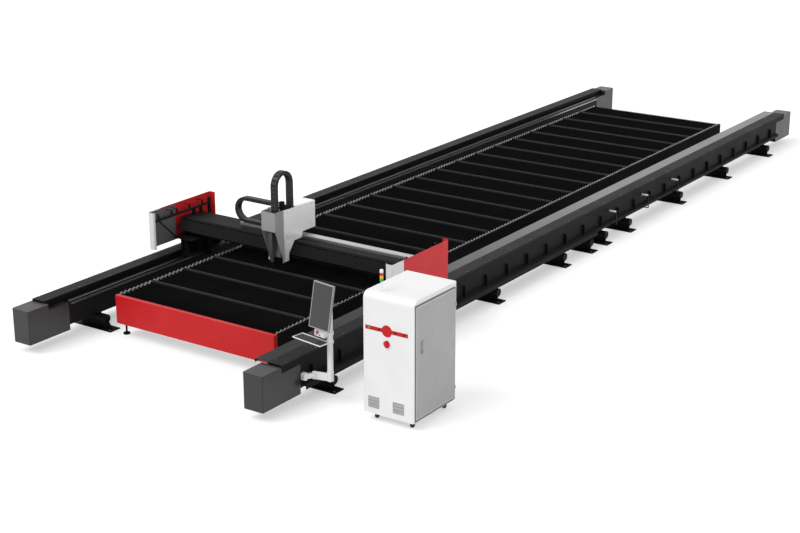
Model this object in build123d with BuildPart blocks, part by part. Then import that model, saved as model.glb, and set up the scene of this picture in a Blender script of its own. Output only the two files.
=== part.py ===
from build123d import *
import math
import os

os.makedirs("parts", exist_ok=True)

# Gantry laser cutting machine on ground rails, in millimetres, +Z up.
# Local sizes are measured across the machine from its centre line (x),
# back from the front face of the rails (y) and up from the floor (z).

# Overall sizes
rail_length = 17280
bed_length = 14282
bed_start = 1203
bed_half_width = 1430
foot_reach = 2365          # outer end of a foot plate, from the centre line

# Rail beams
beam_inner = 1890
beam_outer = 2200
beam_bottom = 225
ledge_z = 550
upper_inner = 2000
cover_top = 660
cover_sheet = 3
beam_wall = 10
splice_y = 8640
splice_gap = 0.4
box_top_length = 380
box_side_length = 760
box_bottom = 146
box_top = 636
box_sheet = 4
box_radius = 15
cover_lip = 15             # how far the cover reaches inward past the upper box
skirt_depth = 27
strip_inner = 1775
strip_skirt = 45
strip_seam_y = 8050
strip_seam_gap = 3
strip_gap = 1

# Outer tray and ribs of a beam
tray_top = 335
tray_sheet = 6
tray_reach = 90
tray_fall = 35
tray_lip = 74
slim_reach = 62
slim_fall = 24
slim_lip = 40
rib_pitch = 607
rib_first = 978
rib_thickness = 14
rib_reach = 42
rib_top = 486
rib_foot = 30

# Rail guides and gear racks
guide_width = 23
guide_height = 22
guide_x = 1930
guide_waist = 3
guide_end = 790
rack_width = 22
rack_height = 24
rack_z = 519

# Feet of the beams
foot_ys = (1360, 3410, 5470, 7527, 8420, 8945, 9820, 11860, 13900, 15920)
foot_plate_depth = 200
foot_plate_inner = 1615
foot_plate_thick = 16
foot_web = 14
foot_tube_r = 62
foot_tube_z = 153
foot_tube_inner = 1755
foot_tube_outer = 2300
foot_pad = 60
bolt_hole_r = 9
bolt_r = 8
bolt_inset = 30
bolt_side = 70
bolt_head_r = 13
bolt_head = 10

# Chain support rollers
roller_ys = (9200, 10400, 11600)
roller_z = 495
roller_r = 17
roller_axle_r = 6
roller_fit = 0.05
roller_start = 2206
roller_end = 2338
bracket_sheet = 5
bracket_width = 40
side_gap = 0.3

# Cutting bed
bed_modules = 7
bed_bottom = 210
bed_top = 624
bed_plate = 8
bed_flange = 60
bed_panel_depth = 63
bed_panel_sheet = 3
bed_panel_radius = 20
frames_per_module = 3
slats_per_frame = 8
slat_thickness = 4
slat_base = 548
slat_top = 640
slat_end_gap = 0.5
comb_sheet = 4
comb_bottom = 560
comb_root = 622
comb_tip = 650
stringer_x = 480
stringer_width = 60
stringer_height = 90
cross_depth = 60
cross_bottom = 330
cross_top = 400
ledge_reach = 44
bar_thickness = 6
bar_top = 646
bed_foot_inset = 105
bed_foot_r = 52
bed_foot_pad = 22
bed_stud_r = 14

# Gantry
gantry_fit = 0.3
block_length = 130
block_width = 63
block_top = 586
saddle_front = 3200
saddle_back = 4010
saddle_plate = 16
saddle_inner = 1735
saddle_outer = 1966
upright_thick = 25
upright_left = 1940
upright_right = 1737
end_beam_front = 3470
end_beam_back = 3870
beam_z0 = 840
beam_z1 = 1085
gantry_wall = 8
gantry_half = 2150
flange_thick = 12
flange_outer = 2110
gusset = 12
gusset_shares = (0.06, 0.35, 0.65, 0.94)
right_gusset = 140
drive_y = 3605
pinion_r = 30
pinion_gap = 0.3
gearbox_side = 84
gearbox_top_z = 586
motor_r = 38
motor_length = 190
panel_outer = 2221
panel_sheet = 3
panel_front = 2781
panel_split = 3060
panel_back = 4193
panel_bottom = 736
panel_top = 1312
post_width = 118
post_radius = 28
post_return = 34
panel_flange = 105
panel_bend = 24
frame_tube_r = 20
frame_tube_z = 1187
frame_tube_x = 2100
frame_tube_start = 2820
frame_tube_end = 4030
frame_post_side = 36
bracket_ys = (2886, 3175, 3295, 3583, 3876)
bracket_top = 1275
bracket_base = 46
bracket_thick = 8
strut_side = 18
liner_end = 3365
liner_gap = 12
liner_sheet = 2
x_rail_zs = (880, 1045)
x_rail_width = 23
x_rail_depth = 18
shelf_front = 3450
shelf_back = 3600
shelf_z = 1095
shelf_sheet = 3
shelf_lip = 26
tray_front = 3640
tray_back = 3770
tray_z = 1132
tray_start = -1150
tray_end = 2040
bellows_z0 = 925
bellows_y0 = 3322
bellows_z1 = 1064
bellows_y1 = 3419.2
bellows_depth = 15
pleat_pitch = 42
curtain_end = 2140
curtain_bar = 4

# Carriage and cutting head
carriage_x = -110          # middle of the carriage, from the centre line
carriage_half = 145
plate_front = 3418
plate_back = 3440
plate_bottom = 862
plate_z_top = 1062
x_block_back = 3464
x_block_length = 90
x_block_height = 52
z_rail_offset = 62
z_rail_width = 16
z_rail_depth = 12
z_rail_bottom = 850
z_rail_top = 1570
z_base_front = 3218
z_base_thick = 18
rib_sheet = 12
z_motor_side = 56
z_motor_top = 1720
z_motor_x = -40
housing_sheet = 3
# Side outline of the housing, depth and height
housing_profile = ((3192, 832), (3192, 1609), (3944, 1595), (3944, 1192), (3634, 1190),
                   (3622, 1103), (3445, 1103), (3316, 946), (3305, 830))
lid_front = 3490
housing_lip = 24
nose_x = -79
nose_width = 248
cheek_bottom = 830
cheek_taper = 905
cheek_foot = 3150
nose_front = 2990
nose_back = 3190
nose_bottom = 1335
nose_top = 1622
z_plate_width = 180
z_plate_thick = 16
z_plate_bottom = 900
z_block_zs = (1060, 1460)
z_block_height = 80
z_block_width = 36
head_gap = 0.3
head_width = 74
head_depth = 84
head_x = -95
head_y = 3084
head_bottom = 930
head_top = 1290
tube_r = 26
nozzle_r = 17
nozzle_tip_r = 4
nozzle_bore_r = 1.5
nozzle_z = 800
collar_z = 850

# Energy chains
chain_width = 96
chain_thick = 54
chain_outer_r = 200
chain_pitch = 62
chain_groove = 4
z_chain_x = -32
z_chain_top = 2180
z_chain_foot = 1560
chain_joint = 8
cross_chain_y = 3686
cross_chain_left = -1245
cross_chain_fixed = -60
cross_chain_upper_end = -262

# Operator console
arm_pin = (2244, 800)
knuckle_pin = (2312, 905)
pole_at = (2530, 955)
console_turn = -9           # degrees that desk and screen are turned round the pole
arm_z = 352
arm_height = 60
arm_width = 46
barrel_r = 30
pin_r = 12
pin_fit = 0.05
lug_thick = 15
clamp_plate = 8
pole_r = 38
pole_top = 1285
pole_socket_r = 43
socket_top = 467
desk_z = 868
desk_left = 2075
desk_right = 2575
desk_front = 734
desk_back = 912
desk_sheet = 3
desk_rim = 16
keyboard_inset = 22
keyboard_height = 12
key_rows = 4
key_columns = 14
key_size = 24
key_height = 3
ring_wall = 10
ring_height = 34
box_left = 2355
box_right = 2530
box_front = 855
box_back = 905
box_z0 = 938
box_z1 = 1023
box_sheet_thick = 3
control_z = 960
estop_x = 2416
estop_z = 996
estop_r = 18
estop_stem_r = 10
estop_travel = 4
reset_x = 2387
start_x = 2450
button_r = 8
button_stand = 6
monitor_width = 354
monitor_height = 590
monitor_z = 1046
monitor_thick = 28
monitor_y = 853
monitor_lean = 10.5
tilt_z = 1245
monitor_x = 2481
bezel = 12
screen_depth = 2
tilt_pin_r = 6
tilt_behind = 36
ear_sheet = 10
ear_r = 12
ear_xs = (2500, 2550)
ear_gap = 5

# Source cabinet
cab_left = 3125
cab_right = 3884
cab_front = 837
cab_back = 1779
cab_bottom = 114
cab_top = 1700
cab_sheet = 3
cab_radius = 20
cab_brow = 90
door_edge = 22
door_front = 860
door_back = 1757
door_z0 = 134
door_z1 = 1637
door_gap = 3
door_thick = 18
door_sheet = 2
hinge_r = 5.7
hinge_pin_r = 3
hinge_fit = 0.05
hinge_stand = 6
hinge_zs = (300, 1420)
hinge_knuckle = 30
handle_y = 1010
handle_z0 = 994
handle_z1 = 1154
handle_width = 24
handle_reach = 23
vent_width = 165
vent_height = 148
vent_z = 268
vent_xs = (3283, 3652)
vent_slots = 7
vent_slot = 8
trim_thick = 3
band_z = 1247
band_height = 50
band_left = 3165
band_right = 3792
disc_x = 3484
disc_r = 76
button_xs = (3227, 3371, 3608, 3737)
panel_button_r = 13
panel_button_reach = 8
knob_x = 3484
knob_z = 1080
knob_r = 45
knob_reach = 26
tower_x = 3330
tower_y = 950
tower_pole_r = 9
tower_r = 22
tower_pole = 128
tower_module = 37
castor_inset_x = 115
castor_inset_y = 110
wheel_r = 38
wheel_width = 26
castor_trail = 26
castor_boss = 12
fork_sheet = 5
fork_gap = 1
axle_r = 6
kingpin_r = 8
source_left = 3190
source_back_gap = 40
source_height = 260
source_z = 700
shelf_thick = 3

# Place of the machine in the model's frame: the whole outline is centred
line_x = (foot_reach - (cab_right + handle_reach)) / 2
front_y = -rail_length / 2
cabinet_mid_y = (cab_front + cab_back) / 2


def level(z):
    """Horizontal plane at height z: local x across, local y back."""
    return Plane(origin=(line_x, front_y, z))


def upright(y):
    """Plane across the machine at depth y, facing the front: local x, z."""
    return Plane(origin=(line_x, front_y + y, 0), x_dir=(1, 0, 0), z_dir=(0, -1, 0))


def sideways(x):
    """Plane along the machine at x, facing right: local y, z."""
    return Plane(origin=(line_x + x, front_y, 0), x_dir=(0, 1, 0), z_dir=(1, 0, 0))


def slab(x0, x1, y0, y1, z0, z1, mode=Mode.ADD):
    """A rectangular block between two corners, inside the open part."""
    with BuildSketch(level(z0)) as base:
        with Locations(((x0 + x1) / 2, (y0 + y1) / 2)):
            Rectangle(abs(x1 - x0), abs(y1 - y0))
    extrude(base.sketch, amount=z1 - z0, mode=mode)


def outline(*points):
    """A closed straight-sided face in the open sketch."""
    Polygon(*points, align=None)


# Rail beams
# Each is a lower box with a narrower upper box, in two spliced sections, with a
# pressed tray and upright ribs welded to its outer web.
lower_start = box_side_length
lower_end = rail_length - box_side_length
upper_start = box_top_length
upper_end = rail_length - box_top_length
upper_top = cover_top - cover_sheet


def beam_section(side, start, end, lower_from, lower_to, reach, fall, lip):
    """One hollow section of a beam between start and end."""
    with BuildSketch(upright(lower_from)) as lower_box:
        outline((side * beam_inner, beam_bottom), (side * beam_outer, beam_bottom),
                (side * beam_outer, ledge_z), (side * beam_inner, ledge_z))
        offset(amount=-beam_wall, mode=Mode.SUBTRACT)
    extrude(lower_box.sketch, amount=lower_from - lower_to)
    with BuildSketch(upright(start)) as upper_box:
        outline((side * upper_inner, ledge_z), (side * beam_outer, ledge_z),
                (side * beam_outer, upper_top), (side * upper_inner, upper_top))
        offset(amount=-beam_wall, mode=Mode.SUBTRACT)
    extrude(upper_box.sketch, amount=start - end)
    weld = beam_outer - beam_wall / 2
    tip = beam_outer + reach
    with BuildSketch(upright(lower_from)) as tray:
        outline((side * weld, tray_top), (side * beam_outer, tray_top),
                (side * tip, tray_top - fall), (side * tip, tray_top - fall - lip),
                (side * (tip - tray_sheet), tray_top - fall - lip),
                (side * (tip - tray_sheet), tray_top - fall - tray_sheet),
                (side * beam_outer, tray_top - tray_sheet),
                (side * weld, tray_top - tray_sheet))
    extrude(tray.sketch, amount=lower_from - lower_to)
    slope = fall / reach
    foot_z = tray_top - slope * (rib_reach + rib_thickness) - tray_sheet / 2
    ribs = []
    for k in range(int((rail_length - 2 * rib_first) / rib_pitch) + 1):
        y = rib_first + k * rib_pitch
        if lower_from < y < lower_to - rib_thickness:
            with BuildSketch(upright(y)) as rib:
                outline((side * weld, tray_top - tray_sheet), (side * weld, rib_top),
                        (side * (beam_outer + rib_foot), rib_top),
                        (side * (beam_outer + rib_reach), rib_top - rib_reach),
                        (side * (beam_outer + rib_reach), foot_z))
            ribs += rib.sketch.faces()
    extrude(ribs, amount=-rib_thickness)


roller_bracket_x = roller_end + side_gap


def roller_bracket(y):
    """Angle on the tray's lip, with the axle that a support roller turns on."""
    lip_x = beam_outer + slim_reach
    low = tray_top - slim_fall - slim_lip
    slab(lip_x, roller_bracket_x + bracket_sheet, y - bracket_width / 2,
         y + bracket_width / 2, low, low + bracket_sheet)
    slab(roller_bracket_x, roller_bracket_x + bracket_sheet, y - bracket_width / 2,
         y + bracket_width / 2, low, roller_z + roller_r)
    with BuildSketch(sideways(beam_outer - beam_wall / 2)) as axle:
        with Locations((y, roller_z)):
            Circle(roller_axle_r)
    extrude(axle.sketch, amount=roller_bracket_x + bracket_sheet - beam_outer + beam_wall / 2)


with BuildPart() as left_beam:
    beam_section(-1, upper_start, splice_y, lower_start, splice_y,
                 tray_reach, tray_fall, tray_lip)
    beam_section(-1, splice_y + splice_gap, upper_end, splice_y + splice_gap, lower_end,
                 slim_reach, slim_fall, slim_lip)
left_beam.part.label = "left_beam"
export_step(left_beam.part, "parts/left_beam.step")

with BuildPart() as right_beam:
    beam_section(1, upper_start, splice_y, lower_start, splice_y,
                 tray_reach, tray_fall, tray_lip)
    beam_section(1, splice_y + splice_gap, upper_end, splice_y + splice_gap, lower_end,
                 slim_reach, slim_fall, slim_lip)
    for y in roller_ys:
        roller_bracket(y)
right_beam.part.label = "right_beam"
export_step(right_beam.part, "parts/right_beam.step")

# End boxes: folded sheet caps, stepped where the beam's upper box begins
def box_profile(turn, inset, back_inset):
    """Side outline of an end box, or of the hollow inside it."""
    steps = ((inset, box_bottom + inset), (box_side_length, box_bottom + inset),
             (box_side_length, ledge_z - inset), (box_top_length - back_inset, ledge_z - inset),
             (box_top_length - back_inset, box_top - inset), (inset, box_top - inset))
    outline(*((rail_length - y if turn else y, z) for y, z in steps))


with BuildPart() as beam_end_boxes:
    for side in (-1, 1):
        for turn in (False, True):
            with BuildSketch(sideways(side * beam_inner)) as skin:
                box_profile(turn, 0, 0)
            extrude(skin.sketch, amount=side * (beam_outer - beam_inner))
    corners = beam_end_boxes.edges().filter_by(Axis.Z).group_by(Axis.Y)
    fillet(corners[0] + corners[-1], box_radius)
    for side in (-1, 1):
        for turn in (False, True):
            with BuildSketch(sideways(side * (beam_inner + box_sheet))) as hollow:
                box_profile(turn, box_sheet, box_sheet)
            extrude(hollow.sketch, amount=side * (beam_outer - beam_inner - 2 * box_sheet),
                    mode=Mode.SUBTRACT)
beam_end_boxes.part.label = "beam_end_boxes"
export_step(beam_end_boxes.part, "parts/beam_end_boxes.step")

# Rail covers: dark folded strips on the upper boxes, in two lengths a side
cover_inner = upper_inner - cover_lip
with BuildPart() as rail_covers:
    for side in (-1, 1):
        for start, end in ((upper_start, splice_y), (splice_y + splice_gap, upper_end)):
            with BuildSketch(upright(start)) as fold:
                outline((side * cover_inner, cover_top),
                        (side * (beam_outer + cover_sheet), cover_top),
                        (side * (beam_outer + cover_sheet), cover_top - skirt_depth),
                        (side * beam_outer, cover_top - skirt_depth),
                        (side * beam_outer, upper_top),
                        (side * (cover_inner + cover_sheet), upper_top),
                        (side * (cover_inner + cover_sheet), upper_top - cover_lip),
                        (side * cover_inner, upper_top - cover_lip))
            extrude(fold.sketch, amount=start - end)
rail_covers.part.label = "rail_covers"
export_step(rail_covers.part, "parts/rail_covers.step")

# Cover strips: light channel sheets over the right guide, screwed to the upper box
strip_outer = cover_inner - strip_gap
strip_foot_z = upper_top - cover_lip - 2 * cover_sheet
with BuildPart() as chain_cover_strips:
    for start, end in ((upper_start, strip_seam_y),
                       (strip_seam_y + strip_seam_gap, upper_end)):
        with BuildSketch(upright(start)) as channel:
            outline((strip_inner, cover_top - strip_skirt), (strip_inner, cover_top),
                    (strip_outer, cover_top), (strip_outer, strip_foot_z + cover_sheet),
                    (upper_inner, strip_foot_z + cover_sheet), (upper_inner, strip_foot_z),
                    (strip_outer - cover_sheet, strip_foot_z),
                    (strip_outer - cover_sheet, cover_top - cover_sheet),
                    (strip_inner + cover_sheet, cover_top - cover_sheet),
                    (strip_inner + cover_sheet, cover_top - strip_skirt))
        extrude(channel.sketch, amount=start - end)
chain_cover_strips.part.label = "chain_cover_strips"
export_step(chain_cover_strips.part, "parts/chain_cover_strips.step")

# Guide rails on the ledges, with waisted sides, and the racks below them
guide_top = ledge_z + guide_height
with BuildPart() as guide_rails:
    for side in (-1, 1):
        half = guide_width / 2
        waist = half - guide_waist
        third = guide_height / 3
        with BuildSketch(upright(guide_end)) as head:
            with Locations((side * guide_x, 0)):
                outline((-half, ledge_z), (half, ledge_z), (half, ledge_z + third),
                        (waist, ledge_z + 1.5 * third), (half, ledge_z + 2 * third),
                        (half, guide_top), (-half, guide_top),
                        (-half, ledge_z + 2 * third), (-waist, ledge_z + 1.5 * third),
                        (-half, ledge_z + third))
        extrude(head.sketch, amount=2 * guide_end - rail_length)
guide_rails.part.label = "guide_rails"
export_step(guide_rails.part, "parts/guide_rails.step")

with BuildPart() as gear_racks:
    for side in (-1, 1):
        slab(side * (beam_inner - rack_width), side * beam_inner, guide_end,
             rail_length - guide_end, rack_z, rack_z + rack_height)
gear_racks.part.label = "gear_racks"
export_step(gear_racks.part, "parts/gear_racks.step")

# Feet: base plate, web, cross tube and seat pad, welded up, one at each station.
# There are twenty, so their tubes and holes have few sides.
bolt_xs = (foot_plate_inner + bolt_inset, foot_reach - bolt_inset)
stations = [(side, y) for side in (-1, 1) for y in foot_ys]
bolt_places = [(side * x, y + offset_y) for side, y in stations for x in bolt_xs
               for offset_y in (-bolt_side, bolt_side)]
plate_mid = (foot_plate_inner + foot_reach) / 2
pad_mid = (beam_inner + beam_outer) / 2
with BuildPart() as beam_feet:
    with BuildSketch(level(0)):
        with Locations(*[(side * plate_mid, y) for side, y in stations]):
            Rectangle(foot_reach - foot_plate_inner, foot_plate_depth)
        with Locations(*bolt_places):
            RegularPolygon(bolt_hole_r, 6, mode=Mode.SUBTRACT)
    extrude(amount=foot_plate_thick)
    for side, y in stations:
        with BuildSketch(upright(y - foot_web / 2)):
            outline((side * (foot_plate_inner + 2 * bolt_inset), foot_plate_thick),
                    (side * (foot_reach - 3 * bolt_inset), foot_plate_thick),
                    (side * foot_tube_outer, foot_tube_z),
                    (side * foot_tube_inner, foot_tube_z))
    extrude(amount=-foot_web)
    for side in (-1, 1):
        with BuildSketch(sideways(side * foot_tube_inner)):
            with Locations(*[(y, foot_tube_z) for y in foot_ys]):
                RegularPolygon(foot_tube_r, 12)
        extrude(amount=side * (foot_tube_outer - foot_tube_inner))
    with BuildSketch(level(foot_tube_z)):
        with Locations(*[(side * pad_mid, y) for side, y in stations]):
            Rectangle(beam_outer - beam_inner - 2 * beam_wall, foot_pad)
    extrude(amount=beam_bottom - foot_tube_z)
beam_feet.part.label = "beam_feet"
export_step(beam_feet.part, "parts/beam_feet.step")

with BuildPart() as anchor_bolts:
    with BuildSketch(level(0)):
        with Locations(*bolt_places):
            RegularPolygon(bolt_r, 6)
    extrude(amount=foot_plate_thick)
    with BuildSketch(level(foot_plate_thick)):
        with Locations(*bolt_places):
            RegularPolygon(bolt_head_r, 6)
    extrude(amount=bolt_head)
anchor_bolts.part.label = "anchor_bolts"
export_step(anchor_bolts.part, "parts/anchor_bolts.step")

# Support rollers for the energy chain, each turning on its bracket's axle
rollers = []
for number, y in enumerate(roller_ys, 1):
    with BuildPart() as chain_roller:
        with BuildSketch(sideways(roller_start)) as section:
            with Locations((y, roller_z)):
                Circle(roller_r)
                Circle(roller_axle_r + roller_fit, mode=Mode.SUBTRACT)
        extrude(amount=roller_end - roller_start)
    rollers.append(chain_roller.part)
    rollers[-1].label = f"chain_roller_{number}"
    export_step(rollers[-1], f"parts/chain_roller_{number}.step")

# Cutting bed
module_length = (bed_length - bed_panel_depth) / bed_modules
frame_start = bed_start + bed_panel_depth
frame_length = module_length / frames_per_module
slat_pitch = frame_length / slats_per_frame


module_starts = [frame_start + k * module_length for k in range(bed_modules)]
module_run = module_length - splice_gap
cross_starts = [start + share * (module_run - cross_depth) for start in module_starts
                for share in (0, 0.5, 1)]

# Seven welded frame modules: side channels, ledges, stringers, cross members
with BuildPart() as bed_frame:
    for start in module_starts:
        for side in (-1, 1):
            outer = bed_half_width
            plate = outer - bed_plate
            with BuildSketch(upright(start)):
                outline((side * outer, bed_bottom), (side * outer, bed_top),
                        (side * (outer - bed_flange / 2), bed_top),
                        (side * (outer - bed_flange / 2), bed_top - bed_plate),
                        (side * plate, bed_top - bed_plate), (side * plate, slat_base),
                        (side * (outer - ledge_reach), slat_base),
                        (side * (outer - ledge_reach), slat_base - bed_plate),
                        (side * plate, slat_base - bed_plate),
                        (side * plate, bed_bottom + bed_plate),
                        (side * (outer - bed_flange), bed_bottom + bed_plate),
                        (side * (outer - bed_flange), bed_bottom))
            with BuildSketch(upright(start)):
                with Locations((side * stringer_x, slat_base - stringer_height / 2)):
                    Rectangle(stringer_width, stringer_height)
    extrude(amount=-module_run)
    with BuildSketch(level(cross_bottom)):
        with Locations(*[(0, y + cross_depth / 2) for y in cross_starts]):
            Rectangle(2 * plate, cross_depth)
    extrude(amount=cross_top - cross_bottom)
    with BuildSketch(level(cross_top)):
        with Locations(*[(side * stringer_x, y + cross_depth / 2) for y in cross_starts
                         for side in (-1, 1)]):
            Rectangle(bed_plate, cross_depth)
    extrude(amount=slat_base - stringer_height - cross_top)
bed_frame.part.label = "bed_frame"
export_step(bed_frame.part, "parts/bed_frame.step")

# Front panel: folded tray with rounded corners, open to the back and below
with BuildPart() as bed_panel_hollow:
    slab(-bed_half_width + bed_panel_sheet, bed_half_width - bed_panel_sheet,
         bed_start + bed_panel_sheet, frame_start, bed_bottom, bed_top - bed_panel_sheet)
    fillet(bed_panel_hollow.edges().filter_by(Axis.Z).group_by(Axis.Y)[0],
           bed_panel_radius - bed_panel_sheet)

with BuildPart() as bed_front_panel:
    slab(-bed_half_width, bed_half_width, bed_start, frame_start, bed_bottom, bed_top)
    fillet(bed_front_panel.edges().filter_by(Axis.Z).group_by(Axis.Y)[0], bed_panel_radius)
    add(bed_panel_hollow.part, mode=Mode.SUBTRACT)
bed_front_panel.part.label = "bed_front_panel"
export_step(bed_front_panel.part, "parts/bed_front_panel.step")

# Slats stand on the ledges and stringers, and flat bars part the grate frames
slat_count = bed_modules * frames_per_module * slats_per_frame
comb_outer = bed_half_width - bed_flange / 2
slat_length = 2 * (comb_outer - comb_sheet - slat_end_gap)
with BuildPart() as slats:
    with BuildSketch(level(slat_base)):
        with Locations(*[(0, frame_start + (k + 0.5) * slat_pitch)
                         for k in range(slat_count)]):
            Rectangle(slat_length, slat_thickness)
    extrude(amount=slat_top - slat_base)
    with BuildSketch(level(slat_base)):
        with Locations(*[(0, frame_start + k * frame_length)
                         for k in range(1, bed_modules * frames_per_module)]):
            Rectangle(slat_length, bar_thickness)
    extrude(amount=bar_top - slat_base)
slats.part.label = "slats"
export_step(slats.part, "parts/slats.step")

# Combs: toothed strips along both sides, one tooth to a slat
comb_end = frame_start + slat_count * slat_pitch
with BuildPart() as slat_combs:
    for side in (-1, 1):
        teeth = [(frame_start, comb_bottom)]
        for k in range(slat_count):
            teeth.append((frame_start + k * slat_pitch, comb_root))
            teeth.append((frame_start + (k + 0.5) * slat_pitch, comb_tip))
        teeth.append((comb_end, comb_root))
        teeth.append((comb_end, comb_bottom))
        with BuildSketch(sideways(side * comb_outer)):
            outline(*teeth)
        extrude(amount=-side * comb_sheet)
    with BuildSketch(level(comb_bottom)):
        reach = bed_half_width - bed_plate - comb_outer
        with Locations(*[(side * (comb_outer + reach / 2), (frame_start + comb_end) / 2)
                         for side in (-1, 1)]):
            Rectangle(reach, comb_end - frame_start)
    extrude(amount=comb_sheet)
slat_combs.part.label = "slat_combs"
export_step(slat_combs.part, "parts/slat_combs.step")

bed_foot_ys = [frame_start + k * module_length + (-bed_foot_inset if k else bed_foot_inset)
               for k in range(bed_modules + 1)]
bed_foot_places = [(side * (bed_half_width - bed_flange / 2), y) for side in (-1, 1)
                   for y in bed_foot_ys]
with BuildPart() as bed_feet:
    with BuildSketch(level(0)):
        with Locations(*bed_foot_places):
            RegularPolygon(bed_foot_r, 12)
    extrude(amount=bed_foot_pad, taper=12)
    with BuildSketch(level(bed_foot_pad)):
        with Locations(*bed_foot_places):
            RegularPolygon(bed_stud_r, 8)
    extrude(amount=bed_bottom - bed_foot_pad)
bed_feet.part.label = "bed_feet"
export_step(bed_feet.part, "parts/bed_feet.step")

# Gantry: hollow cross beam with closed ends
with BuildPart() as gantry_beam:
    slab(-gantry_half, gantry_half, end_beam_front, end_beam_back, beam_z0, beam_z1)
    slab(-gantry_half + gantry_wall, gantry_half - gantry_wall,
         end_beam_front + gantry_wall, end_beam_back - gantry_wall,
         beam_z0 + gantry_wall, beam_z1 - gantry_wall, mode=Mode.SUBTRACT)
gantry_beam.part.label = "gantry_beam"
export_step(gantry_beam.part, "parts/gantry_beam.step")

# Saddles: base plate on the guide blocks, upright web, top flange and gussets
upright_xs = {-1: upright_left, 1: upright_right}
plate_top = block_top + saddle_plate
flange_z = beam_z0 - flange_thick
with BuildPart() as gantry_saddles:
    for side in (-1, 1):
        web = upright_xs[side]
        root = web if side < 0 else web + upright_thick
        toe = root - (web - saddle_inner) / 2
        rib_outline = [(-root, plate_top), (-toe, plate_top),
                       (-root - (toe - root) / 3, flange_z), (-root, flange_z)]
        if side > 0:
            rib_outline = [(root, flange_z), (root + right_gusset, flange_z),
                           (root, flange_z - right_gusset)]
        slab(side * saddle_inner, side * saddle_outer, saddle_front, saddle_back,
             block_top, plate_top)
        slab(side * saddle_inner, side * flange_outer, saddle_front, saddle_back,
             flange_z, beam_z0)
        slab(side * web, side * (web + upright_thick), saddle_front, saddle_back,
             plate_top, flange_z)
        for share in gusset_shares:
            y = saddle_front + share * (saddle_back - saddle_front)
            with BuildSketch(upright(y - gusset / 2)) as rib:
                outline(*rib_outline)
            extrude(rib.sketch, amount=-gusset)
gantry_saddles.part.label = "gantry_saddles"
export_step(gantry_saddles.part, "parts/gantry_saddles.step")

# Guide blocks: two a side, slotted over the guide rails with a running gap
block_ys = (saddle_front + block_length, saddle_back - block_length)
block_bottom = ledge_z + guide_height / 3
guide_slot = guide_width / 2 + gantry_fit


def guide_block(x):
    """Section of a guide block around the guide rail at x."""
    half = block_width / 2
    outline((x - half, block_bottom), (x - guide_slot, block_bottom),
            (x - guide_slot, guide_top + gantry_fit),
            (x + guide_slot, guide_top + gantry_fit),
            (x + guide_slot, block_bottom), (x + half, block_bottom),
            (x + half, block_top), (x - half, block_top))


with BuildPart() as guide_blocks:
    for y in block_ys:
        with BuildSketch(upright(y - block_length / 2)):
            guide_block(-guide_x)
            guide_block(guide_x)
    extrude(amount=-block_length)
guide_blocks.part.label = "guide_blocks"
export_step(guide_blocks.part, "parts/guide_blocks.step")

# Drives: gearbox under each saddle plate, pinion at the rack, motor inward
pinion_x = beam_inner - rack_width - pinion_gap - pinion_r
gearbox_z = rack_z + rack_height + gantry_fit
with BuildPart() as y_drives:
    for side in (-1, 1):
        low_x = pinion_x - gearbox_side / 2
        high_x = min(pinion_x + gearbox_side / 2, beam_inner - rack_width - 1)
        slab(side * low_x, side * high_x, drive_y - gearbox_side / 2,
             drive_y + gearbox_side / 2, gearbox_z, gearbox_top_z)
        with BuildSketch(level(rack_z)) as pinion:
            with Locations((side * pinion_x, drive_y)):
                Circle(pinion_r)
        extrude(pinion.sketch, amount=gearbox_z - rack_z)
        with BuildSketch(sideways(side * low_x)) as motor:
            with Locations((drive_y, gearbox_top_z - motor_r - 1)):
                RegularPolygon(motor_r, 12)
        extrude(motor.sketch, amount=-side * motor_length)
y_drives.part.label = "y_drives"
export_step(y_drives.part, "parts/y_drives.step")

# X guide rails on the front face of the beam
rail_face = end_beam_front - x_rail_depth
with BuildPart() as x_guide_rails:
    with BuildSketch(upright(rail_face)):
        with Locations(*[(0, z) for z in x_rail_zs]):
            Rectangle(2 * gantry_half, x_rail_width)
    extrude(amount=-x_rail_depth)
x_guide_rails.part.label = "x_guide_rails"
export_step(x_guide_rails.part, "parts/x_guide_rails.step")

# Shelf: dark folded cover over the front edge of the beam
lean = (bellows_y1 - bellows_y0) / (bellows_z1 - bellows_z0)
with BuildPart() as beam_top_cover:
    with BuildSketch(sideways(-gantry_half)):
        under = shelf_z - shelf_sheet
        outline((shelf_front, shelf_z), (shelf_back, shelf_z), (shelf_back, beam_z1),
                (shelf_back - shelf_sheet, beam_z1), (shelf_back - shelf_sheet, under),
                (shelf_front + shelf_sheet, under),
                (shelf_front + shelf_sheet - lean * shelf_lip, shelf_z - shelf_lip),
                (shelf_front - lean * shelf_lip, shelf_z - shelf_lip))
    extrude(amount=2 * gantry_half)
    with BuildSketch(sideways(-gantry_half)):
        with Locations(((end_beam_front + shelf_front) / 2 + shelf_sheet * 4,
                        (under + beam_z1) / 2)):
            Rectangle(shelf_sheet * 4, under - beam_z1)
    extrude(amount=2 * gantry_half)
beam_top_cover.part.label = "beam_top_cover"
export_step(beam_top_cover.part, "parts/beam_top_cover.step")

# Chain tray: bright folded channel that the long chain lies on
with BuildPart() as chain_tray:
    with BuildSketch(sideways(tray_start)):
        outline((tray_front, beam_z1), (tray_front, tray_z), (tray_back, tray_z),
                (tray_back, beam_z1), (tray_back - shelf_sheet, beam_z1),
                (tray_back - shelf_sheet, tray_z - shelf_sheet),
                (tray_front + shelf_sheet, tray_z - shelf_sheet),
                (tray_front + shelf_sheet, beam_z1))
    extrude(amount=tray_end - tray_start)
chain_tray.part.label = "chain_tray"
export_step(chain_tray.part, "parts/chain_tray.step")


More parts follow.
